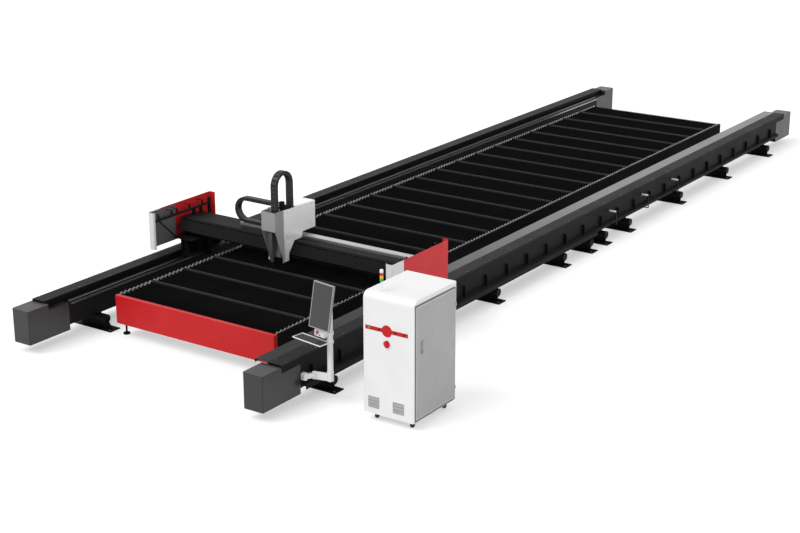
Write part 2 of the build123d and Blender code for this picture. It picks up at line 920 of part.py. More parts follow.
def side_panel(side):
    """Plan of a red side panel: flat sheet with the rear edge rolled inward."""
    out = side * panel_outer
    inn = side * (panel_outer - panel_sheet)
    tip = side * (panel_outer - panel_flange)
    bend = side * (panel_outer - panel_bend)
    outline((out, panel_split), (out, panel_back - panel_bend), (bend, panel_back),
            (tip, panel_back), (tip, panel_back - panel_sheet),
            (bend, panel_back - panel_sheet),
            (inn, panel_back - panel_bend), (inn, panel_split))


with BuildPart() as left_side_panel:
    with BuildSketch(level(panel_bottom)) as plan:
        side_panel(-1)
    extrude(plan.sketch, amount=panel_top - panel_bottom)
left_side_panel.part.label = "left_side_panel"
export_step(left_side_panel.part, "parts/left_side_panel.step")

with BuildPart() as right_side_panel:
    with BuildSketch(level(panel_bottom)) as plan:
        side_panel(1)
    extrude(plan.sketch, amount=panel_top - panel_bottom)
right_side_panel.part.label = "right_side_panel"
export_step(right_side_panel.part, "parts/right_side_panel.step")

# End posts: rounded C-shaped front covers that run into the side panels
with BuildPart() as end_posts:
    for side in (-1, 1):
        with BuildSketch(level(panel_bottom)) as plan:
            mid = side * (panel_outer - post_width / 2)
            length = panel_split - panel_front
            with Locations((mid, panel_front + length)):
                RectangleRounded(post_width, 2 * length, post_radius)
                RectangleRounded(post_width - 2 * panel_sheet, 2 * length - 2 * panel_sheet,
                                 post_radius - panel_sheet, mode=Mode.SUBTRACT)
            with Locations((mid, panel_front + 1.5 * length)):
                Rectangle(post_width, length, mode=Mode.SUBTRACT)
            inner = side * (panel_outer - post_width)
            with Locations((inner, panel_front + post_return + length)):
                Rectangle(4 * panel_sheet, 2 * length, mode=Mode.SUBTRACT)
        extrude(plan.sketch, amount=panel_top - panel_bottom)
end_posts.part.label = "end_posts"
export_step(end_posts.part, "parts/end_posts.step")

# Panel frames: tube on two short posts, brackets, inner liner, rear post and strut
with BuildPart() as panel_frames:
    for side in (-1, 1):
        with BuildSketch(upright(frame_tube_start)):
            with Locations((side * frame_tube_x, frame_tube_z)):
                RegularPolygon(frame_tube_r, 10)
    extrude(amount=frame_tube_start - frame_tube_end)
    with BuildSketch(level(beam_z1)):
        for side in (-1, 1):
            with Locations((side * frame_tube_x, shelf_back + 2 * frame_post_side),
                           (side * frame_tube_x, end_beam_back - frame_post_side)):
                Rectangle(frame_post_side, frame_post_side)
    extrude(amount=frame_tube_z - beam_z1)
    with BuildSketch(level(panel_bottom + frame_post_side)):
        for side in (-1, 1):
            with Locations((side * frame_tube_x, frame_tube_end)):
                Rectangle(frame_post_side, frame_post_side)
    extrude(amount=panel_top - frame_post_side - panel_bottom - frame_post_side)
    for side in (-1, 1):
        for y in bracket_ys:
            with BuildSketch(sideways(side * frame_tube_x)) as gusset_plate:
                outline((y - bracket_base / 2, frame_tube_z),
                        (y + bracket_base / 2, frame_tube_z),
                        (y + bracket_thick, bracket_top), (y - bracket_thick, bracket_top))
            extrude(gusset_plate.sketch, amount=side * bracket_thick)
            with BuildSketch(level(bracket_top - 2 * bracket_thick)) as arm:
                inner = frame_tube_x
                outer = panel_outer - panel_sheet
                with Locations((side * (inner + outer) / 2, y)):
                    Rectangle(outer - inner, 2 * bracket_thick)
            extrude(arm.sketch, amount=bracket_thick)
        liner_x = side * (panel_outer - panel_sheet - liner_gap)
        slab(liner_x, liner_x - side * liner_sheet, panel_front + post_return, liner_end,
             panel_bottom + liner_gap, panel_top - liner_gap)
        with BuildSketch(sideways(side * (frame_tube_x - strut_side / 2))) as strut:
            outline((frame_tube_start + 2 * strut_side, frame_tube_z),
                    (frame_tube_start + 3.4 * strut_side, frame_tube_z),
                    (saddle_front + 2.4 * strut_side, beam_z0),
                    (saddle_front + strut_side, beam_z0))
        extrude(strut.sketch, amount=side * strut_side)
panel_frames.part.label = "panel_frames"
export_step(panel_frames.part, "parts/panel_frames.step")

# Bellows: pleated curtains that lean over the front of the beam
slant = math.hypot(bellows_y1 - bellows_y0, bellows_z1 - bellows_z0)
lean_angle = math.degrees(math.atan2(bellows_y1 - bellows_y0, bellows_z1 - bellows_z0))


def bellows_plane():
    """Plane across the foot of a curtain: local x across, local y to the back."""
    return Plane(origin=(line_x, front_y + bellows_y0, bellows_z0), x_dir=(1, 0, 0),
                 z_dir=(0, bellows_y1 - bellows_y0, bellows_z1 - bellows_z0))


def pleats(x0, x1):
    """Zigzag section of one curtain from x0 to x1."""
    count = round((x1 - x0) / pleat_pitch)
    step = (x1 - x0) / count
    skin = bellows_depth / 3
    front = [(x0, 0)]
    for k in range(count):
        front.append((x0 + (k + 0.5) * step, bellows_depth - skin))
        front.append((x0 + (k + 1) * step, 0))
    back = [(x, y + skin) for x, y in reversed(front)]
    outline(*front, *back)


def end_frame(x, front, back):
    """Flat bar across the end of a curtain."""
    outline((x, front), (x + curtain_bar, front), (x + curtain_bar, back), (x, back))


to_rail = (rail_face - gantry_fit - bellows_y1) / math.cos(math.radians(lean_angle))
to_housing = 1.5 * bellows_depth
carriage_left = carriage_x - carriage_half
carriage_right = carriage_x + carriage_half
with BuildPart() as bellows_left:
    with BuildSketch(bellows_plane()) as curtain:
        pleats(-curtain_end, carriage_left - head_gap)
        end_frame(-curtain_end, 0, to_rail)
        end_frame(carriage_left - head_gap - curtain_bar, -to_housing, bellows_depth)
    extrude(curtain.sketch, amount=slant)
bellows_left.part.label = "bellows_left"
export_step(bellows_left.part, "parts/bellows_left.step")

with BuildPart() as bellows_right:
    with BuildSketch(bellows_plane()) as curtain:
        pleats(carriage_right + head_gap, curtain_end)
        end_frame(curtain_end - curtain_bar, 0, to_rail)
        end_frame(carriage_right + head_gap, -to_housing, bellows_depth)
    extrude(curtain.sketch, amount=slant)
bellows_right.part.label = "bellows_right"
export_step(bellows_right.part, "parts/bellows_right.step")

# Cross carriage: blocks on the X rails, plate, two ribs, Z base with its rails
rail_slot = x_rail_width / 2 + head_gap
rib_left = carriage_left + rib_sheet
rib_right = carriage_right - rib_sheet
z_base_back = z_base_front + z_base_thick
rear_leg_back = (nose_front + nose_back) / 2 - chain_thick / 2 + 2 * chain_outer_r
with BuildPart() as x_carriage:
    slab(rib_left, rib_right, plate_front, plate_back, plate_bottom, plate_z_top)
    slab(rib_left, rib_right, z_base_front, z_base_back, z_rail_bottom, z_rail_top)
    for side in (-1, 1):
        x = carriage_x + side * z_rail_offset
        slab(x - z_rail_width / 2, x + z_rail_width / 2, z_base_front - z_rail_depth,
             z_base_front, z_rail_bottom, z_rail_top)
    for start in (rib_left, rib_right - rib_sheet):
        with BuildSketch(sideways(start)) as rib:
            outline((z_base_back, z_rail_bottom), (plate_front, plate_bottom),
                    (plate_front, plate_z_top), (z_base_back + z_motor_side, z_chain_foot),
                    (z_base_back, z_chain_foot))
        extrude(rib.sketch, amount=rib_sheet)
    slab(rib_left, rib_right, z_base_back, rear_leg_back + rib_sheet,
         z_chain_foot - rib_sheet, z_chain_foot)
    slab(z_motor_x - z_motor_side / 2, z_motor_x + z_motor_side / 2, z_base_back,
         z_base_back + z_motor_side, z_chain_foot, z_motor_top)
    for z in x_rail_zs:
        high = z + x_block_height / 2
        low = z - x_block_height / 2
        slot_front = rail_face - head_gap
        for x in (rib_left, rib_right - x_block_length):
            with BuildSketch(sideways(x)) as block:
                outline((plate_back, low), (x_block_back, low), (x_block_back, z - rail_slot),
                        (slot_front, z - rail_slot), (slot_front, z + rail_slot),
                        (x_block_back, z + rail_slot), (x_block_back, high),
                        (plate_back, high))
            extrude(block.sketch, amount=x_block_length)
x_carriage.part.label = "x_carriage"
export_step(x_carriage.part, "parts/x_carriage.step")

# Housing over the carriage: two shaped sides, back, floor and rear lid
with BuildPart() as head_housing:
    for start in (carriage_left, carriage_right - housing_sheet):
        with BuildSketch(sideways(start)) as cheek:
            outline(*housing_profile)
        extrude(cheek.sketch, amount=housing_sheet)
    top_front, top_back, low_back, riser_top, riser_foot, notch = housing_profile[1:7]
    slope = (top_back[1] - top_front[1]) / (top_back[0] - top_front[0])
    lid_z = top_front[1] + slope * (lid_front - top_front[0])
    sheet = housing_sheet
    with BuildSketch(sideways(carriage_left)) as wrap:
        outline((lid_front, lid_z), top_back, low_back, riser_top, riser_foot, notch,
                (notch[0], notch[1] + sheet), (riser_foot[0] - sheet, riser_foot[1] + sheet),
                (riser_top[0] - sheet, riser_top[1] + sheet),
                (low_back[0] - sheet, low_back[1] + sheet),
                (top_back[0] - sheet, top_back[1] - sheet), (lid_front, lid_z - sheet))
    extrude(wrap.sketch, amount=2 * carriage_half)
    for x in (carriage_left, carriage_right - housing_lip):
        slab(x, x + housing_lip, housing_profile[0][0], housing_profile[0][0] + sheet,
             housing_profile[0][1], top_front[1])
    chain_top = tray_z + gantry_fit + 2 * chain_outer_r
    slab(cross_chain_upper_end, carriage_left, cross_chain_y - chain_width / 2,
         cross_chain_y + chain_width / 2, chain_top - chain_thick, chain_top)
head_housing.part.label = "head_housing"
export_step(head_housing.part, "parts/head_housing.step")

# Head slide: back plate with blocks on the Z rails, and the open-topped nose cover
nose_left = nose_x - nose_width / 2
nose_right = nose_x + nose_width / 2
z_plate_front = nose_back - z_plate_thick
chain_front_leg = (nose_front + nose_back) / 2 - chain_thick / 2
with BuildPart() as head_slide:
    slab(carriage_x - z_plate_width / 2, carriage_x + z_plate_width / 2,
         z_plate_front, nose_back, z_plate_bottom, nose_top)
    slab(nose_left, nose_right, nose_front, nose_front + housing_sheet, nose_bottom, nose_top)
    for start in (nose_left, nose_right - housing_sheet):
        with BuildSketch(sideways(start)) as cheek:
            outline((nose_front, nose_top), (nose_front, nose_bottom),
                    (cheek_foot, cheek_taper), (cheek_foot, cheek_bottom),
                    (nose_back, cheek_bottom), (nose_back, nose_top))
        extrude(cheek.sketch, amount=housing_sheet)
    slab(nose_left, nose_right, z_plate_front, nose_back, nose_bottom,
         nose_bottom + z_block_height)
    slab(z_chain_x - chain_width / 2, z_chain_x + chain_width / 2,
         chain_front_leg, z_plate_front, z_chain_foot - rib_sheet, z_chain_foot)
    z_slot = z_rail_width / 2 + head_gap
    rail_front = z_base_front - z_rail_depth - head_gap
    block_back = z_base_front - z_rail_depth / 3
    for z in z_block_zs:
        with BuildSketch(level(z - z_block_height / 2)) as blocks:
            for side in (-1, 1):
                x = carriage_x + side * z_rail_offset
                half = z_block_width / 2
                outline((x - half, nose_back), (x + half, nose_back), (x + half, block_back),
                        (x + z_slot, block_back), (x + z_slot, rail_front),
                        (x - z_slot, rail_front), (x - z_slot, block_back),
                        (x - half, block_back))
        extrude(blocks.sketch, amount=z_block_height)
head_slide.part.label = "head_slide"
export_step(head_slide.part, "parts/head_slide.step")

# Cutting head: square body on a bracket, round collimator on top, lens tube below
with BuildPart() as cutting_head:
    slab(head_x - head_width / 2, head_x + head_width / 2, head_y - head_depth / 2,
         head_y + head_depth / 2, head_bottom, head_top)
    slab(head_x - head_width / 4, head_x + head_width / 4, head_y + head_depth / 2,
         z_plate_front, head_bottom + head_width, head_top - head_width)
    with BuildSketch(level(collar_z)) as tube:
        with Locations((head_x, head_y)):
            Circle(tube_r)
    extrude(tube.sketch, amount=head_bottom - collar_z)
    with BuildSketch(level(head_top)) as collimator:
        with Locations((head_x, head_y)):
            Circle(tube_r)
    extrude(collimator.sketch, amount=nose_bottom + z_block_height - head_top)
cutting_head.part.label = "cutting_head"
export_step(cutting_head.part, "parts/cutting_head.step")

# Nozzle: twelve-sided collar and cone with a through bore
with BuildPart() as nozzle:
    nozzle_mid = (nozzle_z + collar_z) / 2
    cone_angle = math.degrees(math.atan((nozzle_r - nozzle_tip_r) / (nozzle_mid - nozzle_z)))
    with BuildSketch(level(nozzle_mid)) as shoulder:
        with Locations((head_x, head_y)):
            RegularPolygon(nozzle_r, 12)
    extrude(shoulder.sketch, amount=collar_z - nozzle_mid)
    extrude(shoulder.sketch, amount=nozzle_z - nozzle_mid, taper=cone_angle)
    with BuildSketch(level(nozzle_z)) as bore:
        with Locations((head_x, head_y)):
            RegularPolygon(nozzle_bore_r, 6)
    extrude(bore.sketch, amount=collar_z - nozzle_z, mode=Mode.SUBTRACT)
nozzle.part.label = "nozzle"
export_step(nozzle.part, "parts/nozzle.step")


def chain_loop(leg_a, leg_b, place):
    """Section of a chain bent through a half turn, notched between its links.

    The turn is centred on the origin with both legs pointing down; place(u, v)
    moves each point into the sketch."""
    radius = chain_outer_r - chain_thick / 2
    length = leg_a + math.pi * radius + leg_b
    count = round(length / chain_pitch)

    def point(s, off):
        if s < leg_a:
            return place(-radius - off, s - leg_a)
        if s > length - leg_b:
            return place(radius + off, length - leg_b - s)
        turn = (s - leg_a) / radius
        return place(-(radius + off) * math.cos(turn), (radius + off) * math.sin(turn))

    half = chain_thick / 2
    sides = {half: [], -half: []}
    for k in range(count):
        start = k * length / count + (chain_joint / 2 if k else 0)
        stop = (k + 1) * length / count - (chain_joint / 2 if k < count - 1 else 0)
        for off in sides:
            waist = off - math.copysign(chain_groove, off)
            if k:
                sides[off].append(point(start, waist))
            sides[off] += [point(start, off), point(stop, off)]
            if k < count - 1:
                sides[off].append(point(stop, waist))
    outline(*sides[half], *reversed(sides[-half]))


# Upright chain between the carriage and the head
z_turn_y = chain_front_leg + chain_outer_r
z_turn_z = z_chain_top - chain_outer_r
with BuildPart() as z_chain:
    with BuildSketch(sideways(z_chain_x - chain_width / 2)) as section:
        chain_loop(z_turn_z - z_chain_foot, z_turn_z - z_chain_foot,
                   lambda u, v: (z_turn_y + u, z_turn_z + v))
    extrude(section.sketch, amount=chain_width)
z_chain.part.label = "z_chain"
export_step(z_chain.part, "parts/z_chain.step")

# Long chain along the beam: lower run on the tray, upper run to the carriage
cross_turn_x = cross_chain_left + chain_outer_r
cross_turn_z = tray_z + gantry_fit + chain_outer_r
with BuildPart() as cross_chain:
    with BuildSketch(upright(cross_chain_y - chain_width / 2)) as section:
        chain_loop(cross_chain_fixed - cross_turn_x, cross_chain_upper_end - cross_turn_x,
                   lambda u, v: (cross_turn_x - v, cross_turn_z + u))
    extrude(section.sketch, amount=-chain_width)
cross_chain.part.label = "cross_chain"
export_step(cross_chain.part, "parts/cross_chain.step")

# Operator console
# A jointed arm on the right rail carries a pole with desk, keys, buttons and screen.
# What stands on the pole is drawn square to the machine, then turned round the pole.
pole_axis = Axis((line_x + pole_at[0], front_y + pole_at[1], 0), (0, 0, 1))


def export_turned(part, name):
    """Turn a part round the pole and save it."""
    turned = part.rotate(pole_axis, console_turn)
    turned.label = name
    export_step(turned, f"parts/{name}.step")


lug_zs = (arm_z - head_gap - lug_thick, arm_z + arm_height + head_gap)
lug_top = lug_zs[1] + lug_thick


def bar_plan(start, end, width):
    """Plan of a straight bar between two points."""
    run = math.dist(start, end)
    dx = (end[0] - start[0]) / run * width / 2
    dy = (end[1] - start[1]) / run * width / 2
    outline((start[0] - dy, start[1] + dx), (start[0] + dy, start[1] - dx),
            (end[0] + dy, end[1] - dx), (end[0] - dy, end[1] + dx))


def disc(at, radius, mode=Mode.ADD):
    """A circle at a point of the open sketch."""
    with Locations(at):
        Circle(radius, mode=mode)


with BuildPart() as console_clamp:
    slab(beam_outer, beam_outer + clamp_plate, arm_pin[1] - barrel_r,
         arm_pin[1] + barrel_r, lug_zs[0], lug_top)
    for z in lug_zs:
        with BuildSketch(level(z)) as lug:
            bar_plan((beam_outer, arm_pin[1]), arm_pin, 2 * barrel_r)
            disc(arm_pin, barrel_r)
        extrude(lug.sketch, amount=lug_thick)
    with BuildSketch(level(lug_zs[0])) as pin:
        disc(arm_pin, pin_r)
    extrude(pin.sketch, amount=lug_top - lug_zs[0])
console_clamp.part.label = "console_clamp"
export_step(console_clamp.part, "parts/console_clamp.step")

with BuildPart() as console_arm:
    with BuildSketch(level(arm_z)) as plan:
        bar_plan(arm_pin, knuckle_pin, arm_width)
        for at in (arm_pin, knuckle_pin):
            disc(at, barrel_r)
        for at in (arm_pin, knuckle_pin):
            disc(at, pin_r + pin_fit, Mode.SUBTRACT)
    extrude(plan.sketch, amount=arm_height)
console_arm.part.label = "console_arm"
export_step(console_arm.part, "parts/console_arm.step")

# Pole with the yoke of the knuckle at its foot and the screen's pin near its top
back_turn = math.radians(-console_turn)
knuckle_dx = knuckle_pin[0] - pole_at[0]
knuckle_dy = knuckle_pin[1] - pole_at[1]
knuckle_at = (pole_at[0] + knuckle_dx * math.cos(back_turn) - knuckle_dy * math.sin(back_turn),
              pole_at[1] + knuckle_dx * math.sin(back_turn) + knuckle_dy * math.cos(back_turn))
tilt_y = monitor_y + monitor_thick / 2 + tilt_behind
yoke_gap = 1.2 * barrel_r
yoke_run = math.dist(knuckle_at, pole_at)
yoke_start = [a + (b - a) * yoke_gap / yoke_run for a, b in zip(knuckle_at, pole_at)]
with BuildPart() as console_pole:
    for z in lug_zs:
        with BuildSketch(level(z)) as lug:
            bar_plan(knuckle_at, pole_at, arm_width)
            disc(knuckle_at, barrel_r)
        extrude(lug.sketch, amount=lug_thick)
    with BuildSketch(level(lug_zs[0])) as web:
        bar_plan(yoke_start, pole_at, arm_width)
        disc(knuckle_at, pin_r)
    extrude(web.sketch, amount=lug_top - lug_zs[0])
    with BuildSketch(level(lug_zs[0])) as socket:
        disc(pole_at, pole_socket_r)
    extrude(socket.sketch, amount=socket_top - lug_zs[0])
    with BuildSketch(level(socket_top)) as tube:
        disc(pole_at, pole_r)
    extrude(tube.sketch, amount=pole_top - socket_top)
    slab(ear_xs[0] + ear_sheet + ear_gap, ear_xs[1] - ear_gap, tilt_y - ear_r,
         pole_at[1] - pole_r / 2, tilt_z - ear_r, tilt_z + ear_r)
    with BuildSketch(sideways(ear_xs[0])) as pin:
        disc((tilt_y, tilt_z), tilt_pin_r)
    extrude(pin.sketch, amount=ear_xs[1] + ear_sheet - ear_xs[0])
export_turned(console_pole.part, "console_pole")


def pole_ring(bottom, back):
    """Clamp ring round the pole, with a bracket that starts at depth back."""
    with BuildSketch(level(bottom)) as ring:
        bar_plan((pole_at[0], back), pole_at, pole_r)
        disc(pole_at, pole_r + ring_wall)
        disc(pole_at, pole_r + pin_fit, Mode.SUBTRACT)
    extrude(ring.sketch, amount=ring_height)


with BuildPart() as keyboard_tray:
    slab(desk_left, desk_right, desk_front, desk_back, desk_z, desk_z + desk_rim)
    slab(desk_left + desk_sheet, desk_right - desk_sheet, desk_front + desk_sheet,
         desk_back - desk_sheet, desk_z + desk_sheet, desk_z + desk_rim, mode=Mode.SUBTRACT)
    pole_ring(desk_z - desk_rim, desk_back)
export_turned(keyboard_tray.part, "keyboard_tray")

keys_z = desk_z + desk_sheet
with BuildPart() as keyboard:
    slab(desk_left + keyboard_inset, desk_right - keyboard_inset, desk_front + keyboard_inset,
         desk_back - keyboard_inset, keys_z, keys_z + keyboard_height)
    key_pitch = (desk_right - desk_left - 3 * keyboard_inset) / key_columns
    row_pitch = (desk_back - desk_front - 3 * keyboard_inset) / key_rows
    with BuildSketch(level(keys_z + keyboard_height)) as keys:
        with Locations(((desk_left + desk_right) / 2, (desk_front + desk_back) / 2)):
            with GridLocations(key_pitch, row_pitch, key_columns, key_rows):
                Rectangle(key_size, key_size)
    extrude(keys.sketch, amount=key_height)
export_turned(keyboard.part, "keyboard")

# Control box with a bore for each button
controls = ((estop_x, estop_z, estop_stem_r), (reset_x, control_z, button_r),
            (start_x, control_z, button_r))
with BuildPart() as control_box:
    slab(box_left, box_right, box_front, box_back, box_z0, box_z1)
    slab(box_left + box_sheet_thick, box_right - box_sheet_thick,
         box_front + box_sheet_thick, box_back - box_sheet_thick,
         box_z0 + box_sheet_thick, box_z1 - box_sheet_thick, mode=Mode.SUBTRACT)
    with BuildSketch(upright(box_front)) as bores:
        for x, z, radius in controls:
            disc((x, z), radius + pin_fit)
    extrude(bores.sketch, amount=-box_sheet_thick, mode=Mode.SUBTRACT)
    pole_ring((box_z0 + box_z1 - ring_height) / 2, box_back - 2 * box_sheet_thick)
export_turned(control_box.part, "control_box")

# Stop button: mushroom head clear of the box by more than its travel
estop_back = box_front - 1.5 * estop_travel
stem_end = box_front + box_sheet_thick + 3 * button_stand
with BuildPart() as console_estop:
    with BuildSketch(upright(estop_back - estop_r * 0.7)) as head:
        disc((estop_x, estop_z), estop_r)
    extrude(head.sketch, amount=-estop_r * 0.7)
    with BuildSketch(upright(estop_back)) as stem:
        disc((estop_x, estop_z), estop_stem_r)
    extrude(stem.sketch, amount=estop_back - stem_end)
export_turned(console_estop.part, "console_estop")

with BuildPart() as start_button:
    with BuildSketch(upright(box_front - button_stand)) as cap:
        disc((start_x, control_z), button_r)
    extrude(cap.sketch, amount=box_front - button_stand - stem_end)
export_turned(start_button.part, "start_button")

with BuildPart() as reset_button:
    with BuildSketch(upright(box_front - button_stand)) as cap:
        disc((reset_x, control_z), button_r)
    extrude(cap.sketch, amount=box_front - button_stand - stem_end)
export_turned(reset_button.part, "reset_button")

# Upright screen with a recessed face and two bored ears behind it, leaning back
screen_front = monitor_y - monitor_thick / 2
screen_back = monitor_y + monitor_thick / 2
with BuildPart() as monitor:
    slab(monitor_x - monitor_width / 2, monitor_x + monitor_width / 2,
         screen_front, screen_back, monitor_z, monitor_z + monitor_height)
    slab(monitor_x - monitor_width / 2 + bezel, monitor_x + monitor_width / 2 - bezel,
         screen_front, screen_front + screen_depth, monitor_z + bezel,
         monitor_z + monitor_height - bezel, mode=Mode.SUBTRACT)
    for x in ear_xs:
        with BuildSketch(sideways(x)) as ear:
            outline((screen_back, tilt_z - ear_r), (tilt_y, tilt_z - ear_r),
                    (tilt_y, tilt_z + ear_r), (screen_back, tilt_z + ear_r))
            disc((tilt_y, tilt_z), ear_r)
            disc((tilt_y, tilt_z), tilt_pin_r + pin_fit, Mode.SUBTRACT)
        extrude(ear.sketch, amount=ear_sheet)
tilt_axis = Axis((line_x, front_y + tilt_y, tilt_z), (1, 0, 0))
export_turned(monitor.part.rotate(tilt_axis, -monitor_lean), "monitor")

# Source cabinet
# Its hollow core is made first, so that every wall has the same sheet thickness.
castor_xs = (cab_left + castor_inset_x, cab_right - castor_inset_x)
castor_ys = (cab_front + castor_inset_y, cab_back - castor_inset_y)


def cabinet_section(inset, brow):
    """Side section of the cabinet: a box with a rounded top front edge."""
    with BuildSketch(sideways(cab_left + inset)) as section:
        with Locations((cabinet_mid_y, (cab_bottom + cab_top) / 2)):
            Rectangle(cab_back - cab_front - 2 * inset, cab_top - cab_bottom - 2 * inset)
        fillet(section.vertices().group_by(Axis.X)[0].sort_by(Axis.Y)[-1], brow)
    extrude(section.sketch, amount=cab_right - cab_left - 2 * inset)


with BuildPart() as cabinet_core:
    cabinet_section(cab_sheet, cab_brow - cab_sheet)
    sides = cabinet_core.faces().sort_by(Axis.X)
    chamfer(sides[0].edges() + sides[-1].edges(), cab_radius / 2)

pin_bottom = [z - hinge_knuckle / 2 - head_gap for z in hinge_zs]
hinge_at = (cab_right + hinge_stand, door_back)
with BuildPart() as cabinet_shell:
    cabinet_section(0, cab_brow)
    sides = cabinet_shell.faces().sort_by(Axis.X)
    fillet(sides[0].edges() + sides[-1].edges(), cab_radius)
    add(cabinet_core.part, mode=Mode.SUBTRACT)
    slab(cab_right - cab_sheet, cab_right, door_front, door_back, door_z0, door_z1,
         mode=Mode.SUBTRACT)
    slots = [(x, vent_z + (k - vent_slots / 2 + 0.5) * vent_height / vent_slots)
             for x in vent_xs for k in range(vent_slots)]
    with BuildSketch(upright(cab_front)) as vents:
        with Locations(*slots):
            Rectangle(vent_width, vent_slot)
    extrude(vents.sketch, amount=-cab_sheet, mode=Mode.SUBTRACT)
    with BuildSketch(level(cab_bottom)) as bosses:
        for x in castor_xs:
            for y in castor_ys:
                disc((x, y), 2 * kingpin_r)
    extrude(bosses.sketch, amount=castor_boss)
    with BuildSketch(level(cab_bottom)) as bores:
        for x in castor_xs:
            for y in castor_ys:
                disc((x, y), kingpin_r + pin_fit)
    extrude(bores.sketch, amount=castor_boss, mode=Mode.SUBTRACT)
    slab(cab_left + cab_sheet, cab_right - 2 * door_edge, cab_front + cab_sheet,
         cab_back - cab_sheet, source_z - shelf_thick, source_z)
    with BuildSketch(upright(cab_front)) as knob_bore:
        disc((knob_x, knob_z), axle_r + pin_fit)
    extrude(knob_bore.sketch, amount=-cab_sheet, mode=Mode.SUBTRACT)
    for z in pin_bottom:
        with BuildSketch(level(z - 2 * hinge_r)) as bracket:
            disc(hinge_at, hinge_r)
            outline((cab_right - cab_sheet, door_back), (hinge_at[0] + hinge_pin_r, door_back),
                    (hinge_at[0] + hinge_pin_r, door_back + 2 * hinge_r),
                    (cab_right - cab_sheet, door_back + 2 * hinge_r))
        extrude(bracket.sketch, amount=2 * hinge_r)
        with BuildSketch(level(z)) as pin:
            disc(hinge_at, hinge_pin_r)
        extrude(pin.sketch, amount=hinge_knuckle + hinge_pin_r)
cabinet_shell.part.label = "cabinet_shell"
export_step(cabinet_shell.part, "parts/cabinet_shell.step")

# Side door: shallow pan with two knuckles and a bow handle
door_face = cab_right - door_sheet
door_inner = door_face - door_thick + door_sheet
with BuildPart() as cabinet_door:
    slab(door_inner, door_face, door_front + door_gap, door_back - door_gap,
         door_z0 + door_gap, door_z1 - door_gap)
    slab(door_inner, door_face - door_sheet, door_front + door_gap + door_sheet,
         door_back - door_gap - door_sheet, door_z0 + door_gap + door_sheet,
         door_z1 - door_gap - door_sheet, mode=Mode.SUBTRACT)
    for z in hinge_zs:
        with BuildSketch(level(z - hinge_knuckle / 2)) as leaf:
            disc(hinge_at, hinge_r)
            outline((door_face, hinge_at[1] - 4 * hinge_r), (hinge_at[0], hinge_at[1] - hinge_r),
                    (hinge_at[0], hinge_at[1]), (hinge_at[0] - hinge_r, hinge_at[1]),
                    (hinge_at[0] - hinge_r, hinge_at[1] - door_gap),
                    (door_face, hinge_at[1] - door_gap))
            disc(hinge_at, hinge_pin_r + hinge_fit, Mode.SUBTRACT)
        extrude(leaf.sketch, amount=hinge_knuckle)
    handle_end = cab_right + handle_reach
    for z in (handle_z0, handle_z1 - handle_width):
        slab(door_face, handle_end, handle_y - handle_width / 2,
             handle_y + handle_width / 2, z, z + handle_width)
    slab(handle_end - hinge_r, handle_end, handle_y - handle_width / 2,
         handle_y + handle_width / 2, handle_z0, handle_z1)
cabinet_door.part.label = "cabinet_door"
export_step(cabinet_door.part, "parts/cabinet_door.step")

with BuildPart() as laser_source:
    slab(source_left, door_inner - door_edge, cab_front + source_back_gap,
         cab_back - source_back_gap, source_z, source_z + source_height)
laser_source.part.label = "laser_source"
export_step(laser_source.part, "parts/laser_source.step")

# Signal tower: base, pole and three lamp modules under a cap
with BuildPart() as signal_tower:
    levels = [(cab_top, tower_r, tower_pole_r), (cab_top, tower_pole_r, tower_pole)]
    module_z = cab_top + tower_pole
    levels += [(module_z + k * tower_module, tower_r - (k % 2) * 0.5, tower_module)
               for k in range(3)]
    levels.append((module_z + 3 * tower_module, tower_r, tower_module))
    for z, radius, height in levels:
        with BuildSketch(level(z)) as drum:
            disc((tower_x, tower_y), radius)
        extrude(drum.sketch, amount=height)
signal_tower.part.label = "signal_tower"
export_step(signal_tower.part, "parts/signal_tower.step")

# Main switch: round base with a raised grip, turning on a short shaft
with BuildPart() as cabinet_knob:
    with BuildSketch(upright(cab_front - knob_reach)) as grip:
        with Locations((knob_x, knob_z)):
            Rectangle(knob_r / 2, 1.8 * knob_r)
    extrude(grip.sketch, amount=-knob_reach / 2)
    with BuildSketch(upright(cab_front - knob_reach / 2)) as base:
        disc((knob_x, knob_z), knob_r)
    extrude(base.sketch, amount=head_gap - knob_reach / 2)
    with BuildSketch(upright(cab_front - knob_reach / 2)) as shaft:
        disc((knob_x, knob_z), axle_r)
    extrude(shaft.sketch, amount=-knob_reach)
cabinet_knob.part.label = "cabinet_knob"
export_step(cabinet_knob.part, "parts/cabinet_knob.step")

# Front trim: flat band with a large disc, one lamp and three caps
with BuildPart() as cabinet_buttons:
    with BuildSketch(upright(cab_front - trim_thick)) as trim:
        with Locations(((band_left + band_right) / 2, band_z)):
            Rectangle(band_right - band_left, band_height)
        disc((disc_x, band_z), disc_r)
    extrude(trim.sketch, amount=-trim_thick)
    with BuildSketch(upright(cab_front - trim_thick - panel_button_reach)) as caps:
        for x in button_xs:
            disc((x, band_z), panel_button_r)
    extrude(caps.sketch, amount=-panel_button_reach)
cabinet_buttons.part.label = "cabinet_buttons"
export_step(cabinet_buttons.part, "parts/cabinet_buttons.step")

# Castors: the front pair swivels, the rear pair stays in line
fork_top = cab_bottom - head_gap
leg_inner = wheel_width / 2 + fork_gap
leg_outer = leg_inner + fork_sheet


